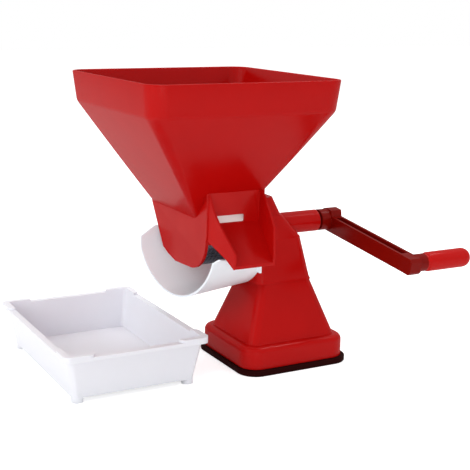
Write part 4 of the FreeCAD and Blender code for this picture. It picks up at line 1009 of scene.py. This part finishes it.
@dataclass(frozen=True)
class TroughCorners:
    """The corners of the trough's back wall, which are rounded off.

    Attributes:
        corners: X and Z of each corner.
        reach: how far a mesh point may lie from its corner.
        width: how much of each side the rounding takes.
        segments: faces across the rounding.
    """

    corners: tuple[tuple[float, float], ...] = ((-113.0, 119.5), (-97.0, 129.5))
    reach: float = 1.6
    width: float = 7.0
    segments: int = 6

    def ease(self, piece: bpy.types.Object) -> None:
        """Round off the corners through the thickness of the wall."""
        build = read_mesh(piece.data)
        found = []
        for edge in build.edges:
            ends = [vert.co / MM for vert in edge.verts]
            for across, level in self.corners:
                near = all(math.hypot(end.x - across, end.z - level) < self.reach
                           for end in ends)
                if near and abs(ends[0].y - ends[1].y) > self.reach / 2:
                    found.append(edge)
        bmesh.ops.bevel(build, geom=found, offset=self.width * MM, segments=self.segments,
                        profile=0.5, affect="EDGES", clamp_overlap=True)
        write_mesh(build, piece.data)
        LOG.info("%s: %d corners eased", piece.name, len(found))


@dataclass(frozen=True)
class CopiedPiece:
    """A piece that follows the frame's own shape with rounded edges.

    Attributes:
        node: the node that it copies and replaces.
        name: the piece's name.
        finish: its finish.
        body: its body.
        slot: its slot.
        width: width of its rounded edges.
        shape: a last change to its mesh before the edges are rounded.
    """

    node: str
    name: str
    finish: Finish
    body: Body
    slot: Slot
    width: float
    shape: Callable[[bpy.types.Object], None] | None = None

    def build(self, wardrobe: Wardrobe) -> None:
        """Copy, shape, round and dress the piece.

        Args:
            wardrobe: what dresses it.
        """
        piece = cad_copy(self.node, self.name)
        if self.shape is not None:
            self.shape(piece)
        round_edges(piece, self.width)
        shade(piece)
        wardrobe.dress(piece, self.finish, self.body, self.slot, self.node)


COPIED_PIECES = (
    CopiedPiece("drum_housing", "drum_house", RED_PLASTIC, Body.FRAME, Slot.RED, 0.9,
                Stand().shape_housing),
    CopiedPiece("pedestal", "stand_foot", RED_PLASTIC, Body.FRAME, Slot.RED, 1.4,
                Stand().widen),
    CopiedPiece("suction_cup", "rubber_foot", BLACK_RUBBER, Body.FRAME, Slot.RUBBER, 1.6),
    CopiedPiece("juice_trough", "juice_channel", TROUGH_PLASTIC, Body.FRAME, Slot.WHITE, 0.7,
                TroughCorners().ease),
    CopiedPiece("tray", "catch_tray", WHITE_PLASTIC, Body.DISH, Slot.WHITE, 0.8),
    CopiedPiece("crank_arm", "crank_lever", DEEP_RED_PLASTIC, Body.CRANK, Slot.DEEP_RED, 0.9),
    CopiedPiece("grip", "hand_grip", GRIP_PLASTIC, Body.HANDLE, Slot.RED, 0.8),
)


# ---------------------------------------------------------------- studio

@dataclass(frozen=True)
class SoftBox:
    """One square soft box.

    Attributes:
        name: the lamp's name.
        place: where it hangs, in metres.
        aim: the point that it faces, in metres.
        width: side of the box in metres.
        power: watts.
        mirrored: whether glossy faces show it.
    """

    name: str
    place: Triple
    aim: Triple
    width: float
    power: float
    mirrored: bool = True

    def hang(self) -> None:
        """Hang the box in the scene."""
        data = bpy.data.lights.new(self.name, "AREA")
        data.size = self.width
        data.energy = self.power
        piece = bpy.data.objects.new(self.name, data)
        piece.location = self.place
        piece.visible_glossy = self.mirrored
        line = Vector(self.aim) - Vector(self.place)
        piece.rotation_euler = line.to_track_quat("-Z", "Y").to_euler()
        bpy.context.scene.collection.objects.link(piece)


@dataclass
class Studio:
    """Floor, lamps, world and camera.

    Attributes:
        place: the camera's place.
        yaw: turn to the right of +Y, in degrees.
        pitch: degrees below level.
        roll: turn about the line of sight, in degrees.
        focal: focal length.
        sensor: width of the sensor.
        far: how far the camera sees, in metres.
        floor_half: half the floor's side, in metres.
        floor_tone, floor_rough, floor_glow: its grey, its roughness and its own light.
        world_light: how strongly the surroundings light the part.
        boxes: the lamps.
    """

    place: Triple = (-530.09, -895.16, 360.55)
    yaw: float = 28.43
    pitch: float = 12.72
    roll: float = 0.91
    focal: float = 80.117
    sensor: float = 36.0
    far: float = 50.0
    floor_half: float = 6.0
    floor_tone: float = 0.86
    floor_rough: float = 0.9
    floor_glow: float = 0.62
    world_light: float = 0.6
    boxes: tuple[SoftBox, ...] = (
        SoftBox("Key box", (-2.2, -0.4, 1.15), (-0.08, 0.0, 0.2), 1.3, 19.0, False),
        SoftBox("Fill box", (1.8, -1.3, 1.2), (0.0, 0.0, 0.12), 1.2, 4.0, False),
        SoftBox("Top box", (0.2, 0.8, 2.4), (0.0, 0.0, 0.1), 1.6, 20.0),
        SoftBox("Spark box", (0.98, -0.1, 2.0), (0.0, 0.0, 0.1), 0.25, 5.0),
        SoftBox("Low box", (-0.7, -1.6, 0.12), (-0.05, 0.0, 0.0), 0.8, 10.0, False),
    )

    def camera(self) -> None:
        """Stand the camera where the view is taken from."""
        yaw, pitch, roll = (math.radians(angle) for angle in (self.yaw, self.pitch, self.roll))
        ahead = Vector((math.sin(yaw) * math.cos(pitch), math.cos(yaw) * math.cos(pitch),
                        -math.sin(pitch)))
        level = Vector((math.cos(yaw), -math.sin(yaw), 0.0))
        above = level.cross(ahead)
        side = level * math.cos(roll) + above * math.sin(roll)
        top = above * math.cos(roll) - level * math.sin(roll)
        turn = Matrix((side, top, -ahead)).transposed()
        data = bpy.data.cameras.new("Camera")
        data.sensor_width = self.sensor
        data.lens = self.focal
        data.clip_end = self.far
        view = bpy.data.objects.new("Camera", data)
        view.matrix_world = Matrix.Translation(Vector(self.place) * MM) @ turn.to_4x4()
        bpy.context.scene.collection.objects.link(view)
        bpy.context.scene.camera = view

    @staticmethod
    def sees_white(board: NodeBoard) -> bpy.types.NodeSocket:
        """Return a mask of rays that should meet the white background.

        Args:
            board: the node tree to add to.

        Returns:
            A socket that is 1 for camera, glossy and transmission rays.
        """
        rays = board.put("ShaderNodeLightPath").outputs
        first = board.sum_of("MAXIMUM", rays["Is Camera Ray"], rays["Is Glossy Ray"])
        return board.sum_of("MAXIMUM", first, rays["Is Transmission Ray"])

    def floor(self) -> None:
        """Lay a pale floor that shows white in the light and keeps the shadow."""
        half, tone = self.floor_half, self.floor_tone
        mesh = bpy.data.meshes.new("Floor")
        mesh.from_pydata([(-half, -half, 0), (half, -half, 0), (half, half, 0), (-half, half, 0)],
                         [], [(0, 1, 2, 3)])
        piece = link_mesh("floor", mesh)
        made = bpy.data.materials.new("Pale floor")
        made.use_nodes = True
        board = NodeBoard(made.node_tree)
        shader = made.node_tree.nodes["Principled BSDF"]
        glow = board.sum_of("MULTIPLY", self.sees_white(board), self.floor_glow)
        for name, value in (("Base Color", (tone, tone, tone, 1.0)),
                            ("Roughness", self.floor_rough), ("Specular IOR Level", 0.0),
                            ("Emission Color", (1.0, 1.0, 1.0, 1.0)),
                            ("Emission Strength", glow)):
            board.feed(shader.inputs[name], value)
        mesh.materials.append(made)

    def world(self) -> None:
        """Make the surroundings white to look at and softer as a lamp."""
        made = bpy.data.worlds.new("Studio")
        made.use_nodes = True
        board = NodeBoard(made.node_tree)
        back = made.node_tree.nodes["Background"]
        strength = board.put("ShaderNodeMapRange", Value=self.sees_white(board),
                             To_Min=self.world_light, To_Max=1.0)
        board.feed(back.inputs["Strength"], strength.outputs["Result"])
        board.feed(back.inputs["Color"], (1.0, 1.0, 1.0, 1.0))
        bpy.context.scene.world = made

    def build(self) -> None:
        """Set the whole studio up."""
        self.camera()
        self.floor()
        self.world()
        for box in self.boxes:
            box.hang()
        bpy.context.scene.view_settings.view_transform = "Standard"
        LOG.info("studio: %d lamps", len(self.boxes))


# ---------------------------------------------------------------- assembly


def main() -> None:
    """Build every sub-assembly in order."""
    logging.basicConfig(level=logging.INFO, format="%(name)s %(message)s")
    wardrobe = Wardrobe()
    wardrobe.dress(Hopper().build(), RED_PLASTIC, Body.FRAME, Slot.RED, "hopper")
    for copied in COPIED_PIECES:
        copied.build(wardrobe)
    drum = Drum().build(wardrobe.material(DRUM_STEEL))
    wardrobe.dress(drum, DRUM_STEEL, Body.CRANK, Slot.DRUM, "drum_shell")
    # The scraper's pale colour is painted light for the bright patch in the skin slot.
    wardrobe.dress(Scraper().build(), SLOT_LIGHT_PAINTED_RUBBER, Body.FRAME, Slot.RUBBER, "scraper_lip")
    for finish, nodes in PAINTED_NODES:
        for node in nodes:
            wardrobe.paint_node(node, finish)
    Studio().build()


if __name__ == "__main__":
    main()
